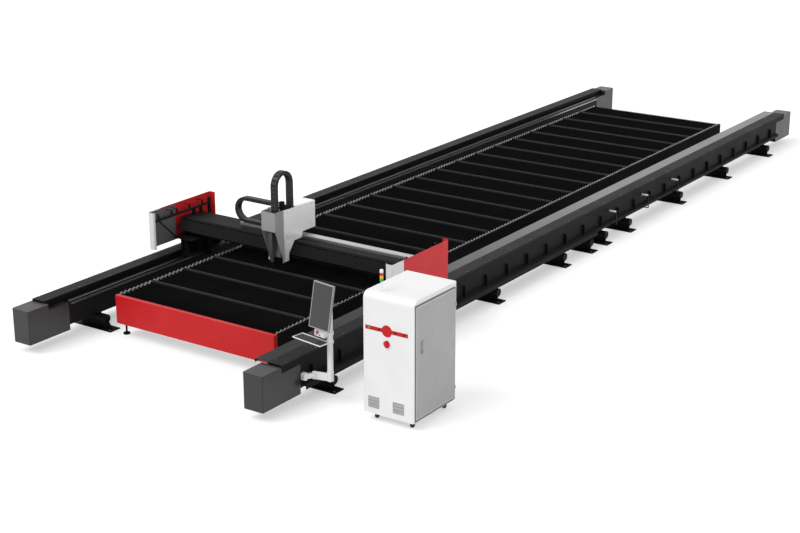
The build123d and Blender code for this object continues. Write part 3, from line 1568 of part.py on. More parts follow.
def castor_fork(x, y):
    """Crown, kingpin, two side plates and the axle of one castor."""
    with BuildSketch(level(fork_top - fork_sheet)) as crown:
        bar_plan((x, y), (x, y + castor_trail), 2 * leg_outer)
        disc((x, y), leg_outer)
    extrude(crown.sketch, amount=fork_sheet)
    with BuildSketch(level(fork_top)) as kingpin:
        disc((x, y), kingpin_r)
    extrude(kingpin.sketch, amount=castor_boss)
    for start in (x - leg_outer, x + leg_inner):
        with BuildSketch(sideways(start)) as leg:
            outline((y - leg_inner, fork_top - fork_sheet),
                    (y + castor_trail, fork_top - fork_sheet),
                    (y + castor_trail + leg_inner, wheel_r),
                    (y + castor_trail + axle_r, wheel_r - 2 * axle_r),
                    (y + castor_trail - axle_r, wheel_r - 2 * axle_r),
                    (y + castor_trail - leg_inner, wheel_r))
        extrude(leg.sketch, amount=fork_sheet)
    with BuildSketch(sideways(x - leg_outer)) as axle:
        disc((y + castor_trail, wheel_r), axle_r)
    extrude(axle.sketch, amount=2 * leg_outer)


with BuildPart() as castor_fork_left:
    castor_fork(castor_xs[0], castor_ys[0])
castor_fork_left.part.label = "castor_fork_left"
export_step(castor_fork_left.part, "parts/castor_fork_left.step")

with BuildPart() as castor_fork_right:
    castor_fork(castor_xs[1], castor_ys[0])
castor_fork_right.part.label = "castor_fork_right"
export_step(castor_fork_right.part, "parts/castor_fork_right.step")

with BuildPart() as rear_castor_forks:
    for x in castor_xs:
        castor_fork(x, castor_ys[1])
rear_castor_forks.part.label = "rear_castor_forks"
export_step(rear_castor_forks.part, "parts/rear_castor_forks.step")

wheels = []
for number, (x, y) in enumerate([(x, y) for y in castor_ys for x in castor_xs], 1):
    with BuildPart() as castor_wheel:
        with BuildSketch(sideways(x - wheel_width / 2)) as section:
            with Locations((y + castor_trail, wheel_r)):
                RegularPolygon(wheel_r, 24)
            disc((y + castor_trail, wheel_r), axle_r + pin_fit, Mode.SUBTRACT)
        extrude(section.sketch, amount=wheel_width)
    wheels.append(castor_wheel.part)
    wheels[-1].label = f"castor_wheel_{number}"
    export_step(wheels[-1], f"parts/castor_wheel_{number}.step")
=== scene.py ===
import math
import bpy
from mathutils import Matrix, Vector


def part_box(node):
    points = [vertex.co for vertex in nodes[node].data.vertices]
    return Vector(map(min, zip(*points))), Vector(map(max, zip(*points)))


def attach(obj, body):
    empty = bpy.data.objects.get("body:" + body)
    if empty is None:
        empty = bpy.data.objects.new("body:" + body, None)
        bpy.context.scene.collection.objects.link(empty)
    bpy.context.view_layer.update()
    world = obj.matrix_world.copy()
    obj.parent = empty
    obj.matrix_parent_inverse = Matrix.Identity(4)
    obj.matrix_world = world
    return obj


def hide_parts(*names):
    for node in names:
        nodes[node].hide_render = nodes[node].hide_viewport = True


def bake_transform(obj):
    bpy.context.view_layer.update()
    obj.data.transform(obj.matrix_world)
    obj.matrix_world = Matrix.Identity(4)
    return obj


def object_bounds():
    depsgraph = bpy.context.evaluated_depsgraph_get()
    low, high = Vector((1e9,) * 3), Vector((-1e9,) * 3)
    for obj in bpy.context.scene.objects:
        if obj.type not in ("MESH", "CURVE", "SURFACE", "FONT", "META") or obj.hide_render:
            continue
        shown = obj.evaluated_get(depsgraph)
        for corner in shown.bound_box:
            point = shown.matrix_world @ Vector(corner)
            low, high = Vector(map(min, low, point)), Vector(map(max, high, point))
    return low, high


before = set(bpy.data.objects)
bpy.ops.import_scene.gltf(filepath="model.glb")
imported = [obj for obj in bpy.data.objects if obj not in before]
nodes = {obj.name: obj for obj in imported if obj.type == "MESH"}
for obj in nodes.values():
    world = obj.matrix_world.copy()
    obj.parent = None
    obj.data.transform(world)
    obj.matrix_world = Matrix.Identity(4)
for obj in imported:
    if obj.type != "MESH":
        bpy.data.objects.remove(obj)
cadLow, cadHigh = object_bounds()
print("frame loaded with", len(nodes), "nodes")

# Sizes below are millimetres from the middle of the bed (x), the front of the
# rails (y) and the floor (z). place() turns them into the frame's metres.
bedLow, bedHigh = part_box("bed_frame")
middleX = (bedLow.x + bedHigh.x) / 2
frontY = cadLow.y


def place(x, y, z):
    return Vector((middleX + x / 1000, frontY + y / 1000, z / 1000))


# Camera, where the photograph was taken from
cameraView = {
    "position": (13929, -14133, 8210),
    "turn": 34.377,  # degrees to the left of the rails
    "down": 18.576,  # degrees below level
    "roll": 0.073,
    "lens": 72.54,
    "sensor": 36,    # width in millimetres
    "far": 400,      # metres
}
cameraData = bpy.data.cameras.new("camera")
cameraData.lens = cameraView["lens"]
cameraData.sensor_width = cameraView["sensor"]
cameraData.clip_end = cameraView["far"]
camera = bpy.data.objects.new("camera", cameraData)
camera.location = place(*cameraView["position"])
camera.rotation_euler = (math.radians(90 - cameraView["down"]),
                         math.radians(cameraView["roll"]),
                         math.radians(cameraView["turn"]))
bpy.context.scene.collection.objects.link(camera)
bpy.context.scene.camera = camera
bpy.context.scene.view_settings.view_transform = "Standard"
print("camera set")


# Materials: helpers. All their sizes are in millimetres.
def hexColour(text):
    # a hex colour in the linear values that Blender takes, by the sRGB curve
    values = []
    for k in (1, 3, 5):
        c = int(text[k:k + 2], 16) / 255
        values.append(c / 12.92 if c <= 0.04045 else ((c + 0.055) / 1.055) ** 2.4)
    return (*values, 1)


def addNode(owner, kind, settings=None, values=None, links=None):
    # one node with its settings, socket values and incoming links
    tree = owner.node_tree
    node = tree.nodes.new(kind)
    for key, value in (settings or {}).items():
        setattr(node, key, value)
    for key, value in (values or {}).items():
        node.inputs[key].default_value = value
    for key, (source, output) in (links or {}).items():
        tree.links.new(source.outputs[output], node.inputs[key])
    return node


def startMaterial(name, look):
    # an empty material with its shader, and coordinates in the frame's metres
    material = bpy.data.materials.new(name)
    material.use_nodes = True
    shader = material.node_tree.nodes["Principled BSDF"]
    shader.inputs["Metallic"].default_value = look.get("metallic", 0)
    shader.inputs["Roughness"].default_value = look["roughness"]
    shader.inputs["IOR"].default_value = look.get("ior", 1.5)
    shader.inputs["Specular IOR Level"].default_value = look.get("shine", 0.5)
    coords = addNode(material, "ShaderNodeTexCoord")
    return material, shader, coords


def joinTo(material, shader, socket, source, output):
    material.node_tree.links.new(source.outputs[output], shader.inputs[socket])


def perMetre(millimetres):
    return 1000 / millimetres


def addNoise(material, source, size, detail, roughness=0.5, output="Object"):
    return addNode(material, "ShaderNodeTexNoise", None,
                   {"Scale": perMetre(size), "Detail": detail, "Roughness": roughness},
                   {"Vector": (source, output)})


def addWave(material, coords, direction, pitch, distortion=0):
    # the texture turns through 20 radians for each unit of its scale
    return addNode(material, "ShaderNodeTexWave", {"bands_direction": direction},
                   {"Scale": 2 * math.pi / 20 * perMetre(pitch),
                    "Distortion": distortion},
                   {"Vector": (coords, "Object")})


def splitAxes(owner, source, output="Object"):
    # outputs 0, 1 and 2 are x, y and z
    return addNode(owner, "ShaderNodeSeparateXYZ", None, None,
                   {"Vector": (source, output)})


def addRange(owner, source, span, result=(0, 1), output=0):
    # spreads a span of the source's values over the result's span
    return addNode(owner, "ShaderNodeMapRange", None,
                   {"From Min": span[0], "From Max": span[1],
                    "To Min": result[0], "To Max": result[1]},
                   {"Value": (source, output)})


# A colour mix has its sockets under these numbers
mixSocket = {"share": 0, "first": 6, "second": 7, "result": 2}


def mixColours(material, first, second, share):
    # both are hex colours, but the first may also be another mix
    values = {mixSocket["second"]: hexColour(second)}
    links = {mixSocket["share"]: (share, 0)}
    if isinstance(first, str):
        values[mixSocket["first"]] = hexColour(first)
    else:
        links[mixSocket["first"]] = (first, mixSocket["result"])
    return addNode(material, "ShaderNodeMix", {"data_type": "RGBA"}, values, links)


def colourBy(material, shader, mix):
    joinTo(material, shader, "Base Color", mix, mixSocket["result"])


def roughenBy(material, shader, source, rough, swing, span=(0.3, 0.7)):
    # roughness that follows a pattern, from less to more than the look's own
    gloss = addRange(material, source, span, (rough + swing[0], rough + swing[1]))
    joinTo(material, shader, "Roughness", gloss, 0)


def reliefBy(material, shader, source, strength, height, output=0):
    bump = addNode(material, "ShaderNodeBump", None,
                   {"Strength": strength, "Distance": height / 1000},
                   {"Height": (source, output)})
    joinTo(material, shader, "Normal", bump, 0)


# Powder-coated sheet steel: sprayed and baked, so it has a soft satin sheen, a
# faint orange peel and slow changes of tone along a long sheet
def powderCoat(name, base, shade, look):
    material, shader, coords = startMaterial(name, look)
    tone = addNoise(material, coords, look.get("tone", 420), 4, 0.6)
    colour = mixColours(material, base, shade, addRange(material, tone, (0.38, 0.66)))
    if "lighterBack" in look:
        # paint turns lighter along the rails, towards the back
        along = splitAxes(material, coords)
        share = addRange(material, along, look["lighterBackOver"], output=1)
        colour = mixColours(material, colour, look["lighterBack"], share)
    colourBy(material, shader, colour)
    roughenBy(material, shader, tone, look["roughness"], (-0.05, 0.07))
    # the peel is so fine that it only shows close up
    peel = addNoise(material, coords, 2.4, 2)
    reliefBy(material, shader, peel, look.get("peelStrength", 0.12), 0.4)
    return material


# Ground or rolled bright steel: drawn along one axis, so the marks run that way
def drawnSteel(name, base, shade, look):
    material, shader, coords = startMaterial(name, look)
    run = addNode(material, "ShaderNodeMapping", None,
                  {"Scale": look.get("stretch", (60, 1, 60))},
                  {"Vector": (coords, "Object")})
    grain = addNoise(material, run, 90, 5, 0.7, output=0)
    colourBy(material, shader, mixColours(material, base, shade, grain))
    roughenBy(material, shader, grain, look["roughness"], (-0.08, 0.1))
    reliefBy(material, shader, grain, 0.15, 0.2)
    return material


# Hot-rolled plate slats: laser-cut edges, mill scale and burnt slag near the tips
def scaledSlatSteel(name, look):
    material, shader, coords = startMaterial(name, look)
    height = splitAxes(material, coords)
    tips = addRange(material, height, (look["scorchFrom"] / 1000, look["tips"] / 1000),
                    output=2)
    scale = addNoise(material, coords, 38, 5, 0.65)
    scorch = addNode(material, "ShaderNodeMath", {"operation": "MULTIPLY"}, None,
                     {0: (tips, 0), 1: (scale, 0)})
    body = mixColours(material, look["dark"], look["scale"], scale)
    colourBy(material, shader, mixColours(material, body, look["worn"], scorch))
    reliefBy(material, shader, scale, 0.3, 0.5)
    return material


# Zinc-plated pressed steel: faint crystal flowers, 12 mm across or less
def zincPlate(name, base, shade, look):
    material, shader, coords = startMaterial(name, look)
    flowers = addNode(material, "ShaderNodeTexVoronoi", None,
                      {"Scale": perMetre(look.get("flower", 12))},
                      {"Vector": (coords, "Object")})
    colourBy(material, shader, mixColours(material, base, shade, flowers))
    roughenBy(material, shader, flowers, look["roughness"], (-0.06, 0.1), (0, 1))
    return material


# Moulded engineering plastic: fine spark-eroded texture, slightly dusty
def mouldedPlastic(name, base, shade, look):
    material, shader, coords = startMaterial(name, {"ior": 1.46, **look})
    dust = addNoise(material, coords, 60, 4)
    colourBy(material, shader, mixColours(material, base, shade, dust))
    grain = addNoise(material, coords, look.get("grain", 0.9), 1)
    reliefBy(material, shader, grain, look.get("grainStrength", 0.2), 0.2)
    return material


# Coated polyester for the bellows: a woven cloth under a thin dull skin. Real
# threads are 0.5 mm apart; they are drawn about 6 mm apart so that they show.
def coatedCloth(name, base, shade, look):
    material, shader, coords = startMaterial(name, look)
    warp, weft = [addWave(material, coords, way, look["thread"], 0.4) for way in "XZ"]
    weave = addNode(material, "ShaderNodeMath", {"operation": "MAXIMUM"}, None,
                    {0: (warp, "Fac"), 1: (weft, "Fac")})
    colourBy(material, shader, mixColours(material, base, shade, weave))
    shader.inputs["Sheen Weight"].default_value = look["sheen"]
    reliefBy(material, shader, weave, 0.25, 0.4)
    return material


# Stack light: clear-coated coloured modules between white plastic ends,
# told apart by their height
def stackLight(name, look):
    material, shader, coords = startMaterial(name, look)
    height = splitAxes(material, coords)
    share = addRange(material, height, (look["from"] / 1000, look["to"] / 1000), output=2)
    bands = addNode(material, "ShaderNodeValToRGB", None, None, {0: (share, 0)})
    ramp = bands.color_ramp
    ramp.interpolation = "CONSTANT"
    ramp.elements[0].color = hexColour(look["bands"][0][1])
    ramp.elements[1].position = look["bands"][1][0]
    ramp.elements[1].color = hexColour(look["bands"][1][1])
    for position, colour in look["bands"][2:]:
        ramp.elements.new(position).color = hexColour(colour)
    joinTo(material, shader, "Base Color", bands, 0)
    ribs = addWave(material, coords, "Z", look["ribs"])
    reliefBy(material, shader, ribs, 0.4, 0.6, "Fac")
    return material


finishes = {
    # frame steel, powder-coated in fine black
    "frameBlack": powderCoat(
        "powder coated steel black", "#121213", "#171718",
        {"roughness": 0.5, "shine": 0.06}),
    "boxGraphite": powderCoat(
        "powder coated steel box graphite", "#1f1f20", "#242425",
        {"roughness": 0.36}),
    "bedBlack": powderCoat(
        "powder coated steel bed black", "#0b0b0c", "#101011",
        {"roughness": 0.55, "shine": 0.05}),
    "coverBlack": powderCoat(
        "powder coated steel cover black", "#19191a", "#1f1f20",
        {"roughness": 0.5, "shine": 0.08}),
    "sourceGrey": powderCoat(
        "powder coated steel source grey", "#2c2c2d", "#343435",
        {"roughness": 0.4}),
    # lighter towards the back over this span of the frame's y, in metres
    "stripGrey": powderCoat(
        "powder coated steel strip grey", "#1f1f21", "#262628",
        {"roughness": 0.45, "shine": 0.15, "lighterBack": "#808082", "lighterBackOver": (-7, 1)}),
    "linerGrey": powderCoat(
        "powder coated steel liner grey", "#626263", "#6a6a6b",
        {"roughness": 0.5, "shine": 0.1}),
    "red": powderCoat(
        "powder coated steel signal red", "#c3161b", "#bb1318",
        {"roughness": 0.4, "shine": 0.25}),
    # a lighter copy of the red: painted light on the side panels' shaded faces
    "panelRedLit": powderCoat(
        "powder coated steel panel red with painted light", "#cd2429", "#c61f24",
        {"roughness": 0.42, "shine": 0.25}),
    "white": powderCoat(
        "powder coated steel traffic white", "#e9e9e9", "#e4e4e5",
        {"roughness": 0.42, "tone": 600, "shine": 0.3}),
    # pearl lacquer: some of its light is a mirror of the white studio
    "pearl": powderCoat(
        "lacquered steel pearl white", "#fbfbfb", "#f6f6f7",
        {"roughness": 0.4, "metallic": 0.4, "peelStrength": 0.05}),
    "postGrey": powderCoat(
        "powder coated steel post grey", "#dedede", "#d9d9da",
        {"roughness": 0.42, "shine": 0.25}),
    # the door is white steel like the shell; this grey is painted shade on its side away
    # from the light
    "doorShadeGrey": powderCoat(
        "powder coated steel door grey, painted shade", "#acacac", "#a7a7a8",
        {"roughness": 0.45, "shine": 0.3}),
    # grey strip on the door's edge: painted shadow in its groove
    "grooveShadowGrey": powderCoat(
        "powder coated steel groove shadow grey", "#8c8c8d", "#868687",
        {"roughness": 0.5, "shine": 0.2}),
    "noseGrey": powderCoat(
        "powder coated steel silver grey", "#9c9c9d", "#949497",
        {"roughness": 0.42, "shine": 0.3}),
    # linear guides and racks, hardened and ground along their length
    "guideSteel": drawnSteel(
        "ground rail steel", "#9a9c9f", "#83858a",
        {"metallic": 1, "roughness": 0.3}),
    "crossRail": drawnSteel(
        "ground cross rail steel", "#9a9c9f", "#83858a",
        {"metallic": 1, "roughness": 0.3, "stretch": (1, 60, 60)}),
    "trayAluminium": drawnSteel(
        "anodised aluminium tray", "#c4c6c8", "#b2b4b6",
        {"metallic": 1, "roughness": 0.38, "stretch": (1, 50, 50)}),
    "headAluminium": drawnSteel(
        "anodised aluminium cutting head", "#77797c", "#6b6d70",
        {"metallic": 1, "roughness": 0.36, "stretch": (50, 50, 1)}),
    "nozzleCopper": drawnSteel(
        "turned and blackened copper nozzle", "#4a3a30", "#3c302a",
        {"metallic": 1, "roughness": 0.3, "stretch": (1, 1, 70)}),
    "comb": zincPlate(
        "zinc plated comb strip", "#d4d4d4", "#c2c2c3",
        {"metallic": 0.55, "roughness": 0.4}),
    "zinc": zincPlate(
        "zinc plated fastener", "#8e8e8c", "#7c7c7b",
        {"metallic": 0.9, "roughness": 0.42, "flower": 6}),
    "slat": scaledSlatSteel(
        "hot rolled slat plate",
        {"metallic": 0.2, "roughness": 0.7, "shine": 0.1,
         "dark": "#060607", "scale": "#0b0b0c", "worn": "#161618",
         "scorchFrom": 612, "tips": 642}),
    "bar": scaledSlatSteel(
        "hot rolled joint bar",
        {"metallic": 0.2, "roughness": 0.5,
         "dark": "#2a2a2c", "scale": "#38383a", "worn": "#4c4c4f",
         "scorchFrom": 630, "tips": 648}),
    "chain": mouldedPlastic(
        "moulded polyamide chain", "#161617", "#202022", {"roughness": 0.48}),
    "key": mouldedPlastic(
        "moulded ABS key", "#26262a", "#2e2e32", {"roughness": 0.5}),
    "roller": mouldedPlastic(
        "moulded acetal roller", "#c9c9c8", "#bcbcbb", {"roughness": 0.4}),
    "wheelRubber": mouldedPlastic(
        "moulded castor rubber", "#101011", "#19191a",
        {"roughness": 0.6, "grain": 1.4}),
    # grey strip in the door's gap: painted shadow
    "gapShadow": mouldedPlastic(
        "grey strip painted as door gap shadow", "#5e5e60", "#666668",
        {"roughness": 0.6, "grainStrength": 0.1}),
    "darkCap": mouldedPlastic(
        "moulded ABS dark cap", "#141416", "#1c1c1f",
        {"roughness": 0.3, "grainStrength": 0.05}),
    "redCap": mouldedPlastic(
        "moulded ABS red cap", "#c8141e", "#b8101a",
        {"roughness": 0.28, "grainStrength": 0.05}),
    "greenCap": mouldedPlastic(
        "moulded acrylic green lamp", "#35b048", "#2ca03f",
        {"roughness": 0.2, "grainStrength": 0.05}),
    "bezel": mouldedPlastic(
        "moulded ABS light bezel", "#9a9a9b", "#909091", {"roughness": 0.4}),
    "grille": mouldedPlastic(
        "moulded ABS filter grille", "#a2a2a3", "#949495", {"roughness": 0.5}),
    "screen": mouldedPlastic(
        "coated display glass", "#2e2e2f", "#313132",
        {"roughness": 0.12, "grainStrength": 0.02, "ior": 1.5}),
    "cloth": coatedCloth(
        "coated bellows cloth", "#0c0c0d", "#141415",
        {"roughness": 0.7, "sheen": 0.04, "shine": 0.12, "thread": 5.92}),
    "stack": stackLight(
        "acrylic stack light",
        {"roughness": 0.22, "ior": 1.49, "ribs": 9.87, "from": 1700, "to": 1976,
         "bands": [(0, "#e8e8e8"), (0.464, "#1ea53c"), (0.598, "#e8b020"),
                   (0.732, "#c81e24"), (0.866, "#eeeeee")]}),
}
print("materials made:", len(finishes))


# Every CAD node gets the finish of the real piece, but the door's grey is painted shade
# and the side panels' lighter red is painted light
dressing = {
    "boxGraphite": ["beam_end_boxes"],
    "frameBlack": ["left_beam", "right_beam", "beam_feet", "gantry_saddles",
                   "panel_frames", "x_carriage", "gantry_beam", "y_drives",
                   "castor_fork_left", "castor_fork_right", "rear_castor_forks",
                   "beam_top_cover"],
    "bedBlack": ["bed_frame", "bed_feet"],
    "coverBlack": ["rail_covers"],
    "sourceGrey": ["laser_source"],
    "stripGrey": ["chain_cover_strips"],
    "red": ["bed_front_panel", "cabinet_buttons"],
    # side panels in the lighter red, as painted light
    "panelRedLit": ["left_side_panel", "right_side_panel"],
    "postGrey": ["end_posts"],
    "white": ["cabinet_shell", "console_pole", "keyboard_tray", "control_box",
              "console_arm", "console_clamp"],
    "pearl": ["head_housing"],
    # the white door, painted grey as painted shade
    "doorShadeGrey": ["cabinet_door"],
    "noseGrey": ["head_slide"],
    "guideSteel": ["guide_rails", "gear_racks", "guide_blocks"],
    "crossRail": ["x_guide_rails"],
    "trayAluminium": ["chain_tray"],
    "headAluminium": ["cutting_head"],
    "nozzleCopper": ["nozzle"],
    "comb": ["slat_combs"],
    "zinc": ["anchor_bolts"],
    "slat": ["slats"],
    "chain": ["z_chain", "cross_chain"],
    "cloth": ["bellows_left", "bellows_right"],
    "key": ["keyboard"],
    "bezel": ["monitor"],
    "redCap": ["console_estop", "cabinet_knob"],
    "darkCap": ["start_button", "reset_button"],
    "roller": ["chain_roller_1", "chain_roller_2", "chain_roller_3"],
    "wheelRubber": ["castor_wheel_1", "castor_wheel_2", "castor_wheel_3",
                    "castor_wheel_4"],
    "stack": ["signal_tower"],
}
for finish, names in dressing.items():
    for name in names:
        for materialSlot in nodes[name].material_slots:
            materialSlot.material = finishes[finish]
print("CAD nodes dressed:", sum(len(names) for names in dressing.values()))


# Mesh helpers: a shape is a pair of lists, its corners and its faces
def newShape():
    return [], []


def joinRings(shape, points, outward=True):
    # closes two equal rings of points, given one after the other, into a solid
    corners, faces = shape
    first = len(corners)
    corners.extend(points)
    n = len(points) // 2
    rings = [list(range(n))[::-1], list(range(n, 2 * n))]
    rings += [[k, (k + 1) % n, n + (k + 1) % n, n + k] for k in range(n)]
    for face in rings:
        face = [first + k for k in face]
        faces.append(face if outward else face[::-1])


def addBlock(shape, low, high):
    base = ((low[0], low[1]), (high[0], low[1]), (high[0], high[1]), (low[0], high[1]))
    joinRings(shape, [place(x, y, z) for z in (low[2], high[2]) for x, y in base])


def addPrism(shape, outline, axis, start, length):
    # a flat outline pushed along one axis; its points are the other two axes in order
    points = []
    for depth in (start, start + length):
        for flat in outline:
            point = list(flat)
            point.insert("xyz".index(axis), depth)
            points.append(place(*point))
    area = sum(outline[k - 1][0] * outline[k][1] - outline[k][0] * outline[k - 1][1]
               for k in range(len(outline)))
    joinRings(shape, points, (area > 0) == (axis != "y"))


def addDrum(shape, centre, axis, radius, length, sides, tip=None):
    # a round bar or cone from centre along the axis
    along = "xyz".index(axis)
    other = [k for k in range(3) if k != along]
    points = []
    for depth, r in ((0, radius), (length, radius if tip is None else tip)):
        for k in range(sides):
            turn = 2 * math.pi * k / sides
            point = list(centre)
            point[along] += depth
            point[other[0]] += r * math.cos(turn)
            point[other[1]] += r * math.sin(turn)
            points.append(place(*point))
    joinRings(shape, points, (axis != "y") == (length > 0))


meshLook = {"sharpFrom": 35, "edgeSegments": 2}


def finishPiece(name, shape, finish, body=None, edge=0, smooth=False):
    mesh = bpy.data.meshes.new(name)
    mesh.from_pydata([tuple(c) for c in shape[0]], [], shape[1])
    mesh.validate()
    mesh.materials.append(finishes[finish])
    if smooth:
        mesh.shade_smooth()
        mesh.set_sharp_from_angle(angle=math.radians(meshLook["sharpFrom"]))
    piece = bpy.data.objects.new(name, mesh)
    bpy.context.scene.collection.objects.link(piece)
    if edge:
        rounding = piece.modifiers.new("rounded edges", "BEVEL")
        rounding.width = edge / 1000
        rounding.segments = meshLook["edgeSegments"]
        rounding.limit_method = "ANGLE"
    if body:
        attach(piece, body)
    return piece


# Slats: toothed plate strips across the bed
slats = {
    "count": 168,
    "firstY": 1266,
    "run": 14219,
    "thick": 4,
    "halfLength": 1395.5,
    "base": 548,
    "valley": 616,
    "tip": 640,
    "teeth": 66,
    "frames": 21,
    "barHalf": 3,
    "barTop": 646,
}
shape = newShape()
slatEnd = slats["halfLength"]
toothWidth = 2 * slatEnd / slats["teeth"]
slatOutline = [(-slatEnd, slats["base"]), (slatEnd, slats["base"])]
for k in range(slats["teeth"]):
    x = slatEnd - k * toothWidth
    slatOutline += [(x, slats["valley"]), (x - toothWidth / 2, slats["tip"])]
slatOutline.append((-slatEnd, slats["valley"]))
for k in range(slats["count"]):
    y = slats["firstY"] + (k + 0.5) * slats["run"] / slats["count"]
    addPrism(shape, slatOutline, "y", y - slats["thick"] / 2, slats["thick"])
slatBlades = finishPiece("slat_blades", shape, "slat", "machine")
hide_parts("slats")

# Flat bars where two grate frames meet, a little lighter from the scrap that rubs them
shape = newShape()
for k in range(1, slats["frames"]):
    y = slats["firstY"] + k * slats["run"] / slats["frames"]
    addBlock(shape, (-slatEnd, y - slats["barHalf"], slats["base"]),
             (slatEnd, y + slats["barHalf"], slats["barTop"]))
jointBars = finishPiece("grate_joint_bars", shape, "bar", "machine")
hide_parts("slats")
print("slats and joint bars made")

# Bellows: stitched pleats on a lean, fixed to the beam's end and to the carriage
bellows = {
    "footY": 3322, "footZ": 925,
    "headY": 3419.2, "headZ": 1064,
    "depth": 13,
    "pitch": 38,
    "fold": (0, 0.399, 1, 0.399),  # sharp outer folds and softer inner ones
    "cloth": 1.4,
    "rows": 7,
    "left": (-2140, -255.5),       # from the beam's end to the carriage
    "right": (2140, 35.5),
}


def makeBellows(name, nodeName, fixedX, carriageX):
    run = carriageX - fixedX
    fold, rows = bellows["fold"], bellows["rows"]
    steps = round(abs(run) / bellows["pitch"]) * len(fold)
    leanY = bellows["headY"] - bellows["footY"]
    leanZ = bellows["headZ"] - bellows["footZ"]
    length = math.hypot(leanY, leanZ)
    backY, backZ = leanZ / length, -leanY / length
    profile = [(fixedX + run * k / steps, bellows["depth"] * fold[k % len(fold)])
               for k in range(steps + 1)]
    corners, faces = shape = newShape()
    for skin in (0, bellows["cloth"]):
        for r in range(rows):
            up = r / (rows - 1)
            for x, push in profile:
                off = push + skin
                corners.append(place(x, bellows["footY"] + leanY * up + backY * off,
                                     bellows["footZ"] + leanZ * up + backZ * off))

    def addFace(face, asGiven):
        faces.append(face if asGiven else face[::-1])

    n = len(profile)
    behind = rows * n
    outward = run > 0
    for skin in (0, 1):
        for r in range(rows - 1):
            for k in range(n - 1):
                a = skin * behind + r * n + k
                addFace([a, a + 1, a + n + 1, a + n], outward == (skin == 0))
    for r, turned in ((0, False), (rows - 1, True)):
        for k in range(n - 1):
            a = r * n + k
            addFace([a, a + behind, a + behind + 1, a + 1], outward != turned)
    for k in (0, n - 1):
        for r in range(rows - 1):
            a = r * n + k
            addFace([a, a + n, a + behind + n, a + behind], outward == (k == 0))
    piece = finishPiece(name, shape, "cloth")
    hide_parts(nodeName)
    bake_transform(piece)


makeBellows("bellows_curtain_left", "bellows_left", *bellows["left"])
makeBellows("bellows_curtain_right", "bellows_right", *bellows["right"])
print("bellows made")

# Energy chains: moulded links with side plates, bars and pins
chains = {
    "width": 96,
    "thick": 54,
    "outer": 200,
    "pitch": 62,
    "plate": 6,
    "plateTrim": 3,
    "overlap": 9,
    "bar": 4,
    "barShare": 0.9,
    "pin": 8,
    "pinSides": 12,
}
# the middle of each bend, the legs before and after it, the chain's own middle
# across, and where it starts and ends
headChain = {
    "bend": (3263, 1980),
    "legs": (420, 420),
    "middle": -32,
    "start": (-32, 3425, 1700),
    "end": (-32, 3110, 1700),
}
crossChain = {
    "bend": (-1045, 1332.3),
    "legs": (985, 783),
    "middle": 3686,
    "start": (-700, 3686, 1190),
    "end": (-700, 3686, 1490),
}


def chainRoute(legA, legB, toPlace):
    # both end points of each link, along a chain bent through a half turn
    radius = chains["outer"] - chains["thick"] / 2
    length = legA + math.pi * radius + legB
    count = round(length / chains["pitch"])

    def at(s):
        if s < legA:
            return -radius, s - legA
        if s > length - legB:
            return radius, length - legB - s
        turn = (s - legA) / radius
        return -radius * math.cos(turn), radius * math.sin(turn)

    return [(toPlace(*at(k * length / count)), toPlace(*at((k + 1) * length / count)))
            for k in range(count)]


def makeChain(name, nodeName, chain, links, across):
    shape = newShape()

    def addAcross(flats, sideLow, sideHigh):
        # a flat outline in the chain's plane, from one side of it to the other
        points = []
        for side in (sideLow, sideHigh):
            for flat in flats:
                position = list(flat)
                position.insert("xyz".index(across), chain["middle"] + side)
                points.append(place(*position))
        joinRings(shape, points, across == "x")

    def addBar(a, b, low, high, sideLow, sideHigh):
        # a bar between two flat points, from low to high off the line
        dx, dz = b[0] - a[0], b[1] - a[1]
        run = math.hypot(dx, dz)
        nx, nz = -dz / run, dx / run
        addAcross([(base[0] + nx * off, base[1] + nz * off)
                   for base, off in ((a, low), (b, low), (b, high), (a, high))],
                  sideLow, sideHigh)

    def addPin(at, radius, sideLow, sideHigh):
        turns = [2 * math.pi * k / chains["pinSides"] for k in range(chains["pinSides"])]
        addAcross([(at[0] + radius * math.cos(turn), at[1] + radius * math.sin(turn))
                   for turn in turns], sideLow, sideHigh)

    half = chains["width"] / 2
    deep = chains["thick"] / 2
    plateDeep = deep - chains["plateTrim"]
    for k, (a, b) in enumerate(links):
        inset = chains["plate"] * (k % 2)
        reach = chains["overlap"] / math.dist(a, b)
        c = [a[i] - (b[i] - a[i]) * (reach if k else 0) for i in (0, 1)]
        d = [b[i] + (b[i] - a[i]) * (reach if k < len(links) - 1 else 0) for i in (0, 1)]
        for sign in (-1, 1):
            outer = sign * (half - inset)
            inner = sign * (half - inset - chains["plate"])
            addBar(c, d, -plateDeep, plateDeep, min(outer, inner), max(outer, inner))
            if k:
                addPin(a, chains["pin"], min(sign * half, inner), max(sign * half, inner))
        gap = (1 - chains["barShare"]) / 2
        e = [a[i] + (b[i] - a[i]) * gap for i in (0, 1)]
        f = [b[i] - (b[i] - a[i]) * gap for i in (0, 1)]
        addBar(e, f, deep - chains["bar"], deep, -half, half)
        addBar(e, f, -deep, -deep + chains["bar"], -half, half)
    piece = finishPiece(name, shape, "chain")
    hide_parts(nodeName)
    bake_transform(piece)


bendY, bendZ = headChain["bend"]
upright = chainRoute(*headChain["legs"], lambda u, v: (bendY + u, bendZ + v))
makeChain("head_chain_links", "z_chain", headChain, upright, "x")
bendX, bendZ = crossChain["bend"]
along = chainRoute(*crossChain["legs"], lambda u, v: (bendX - v, bendZ + u))
makeChain("cross_chain_links", "cross_chain", crossChain, along, "y")
print("energy chains made")

# Cabinet: the front face, the door's opening and the top
cabinet = {
    "face": 837,
    "right": 3884,
    "top": 1700,
    "doorY": (860, 1757),
    "doorZ": (134, 1637),
}
face = cabinet["face"]
doorFront, doorBack = cabinet["doorY"]
doorLow, doorHigh = cabinet["doorZ"]

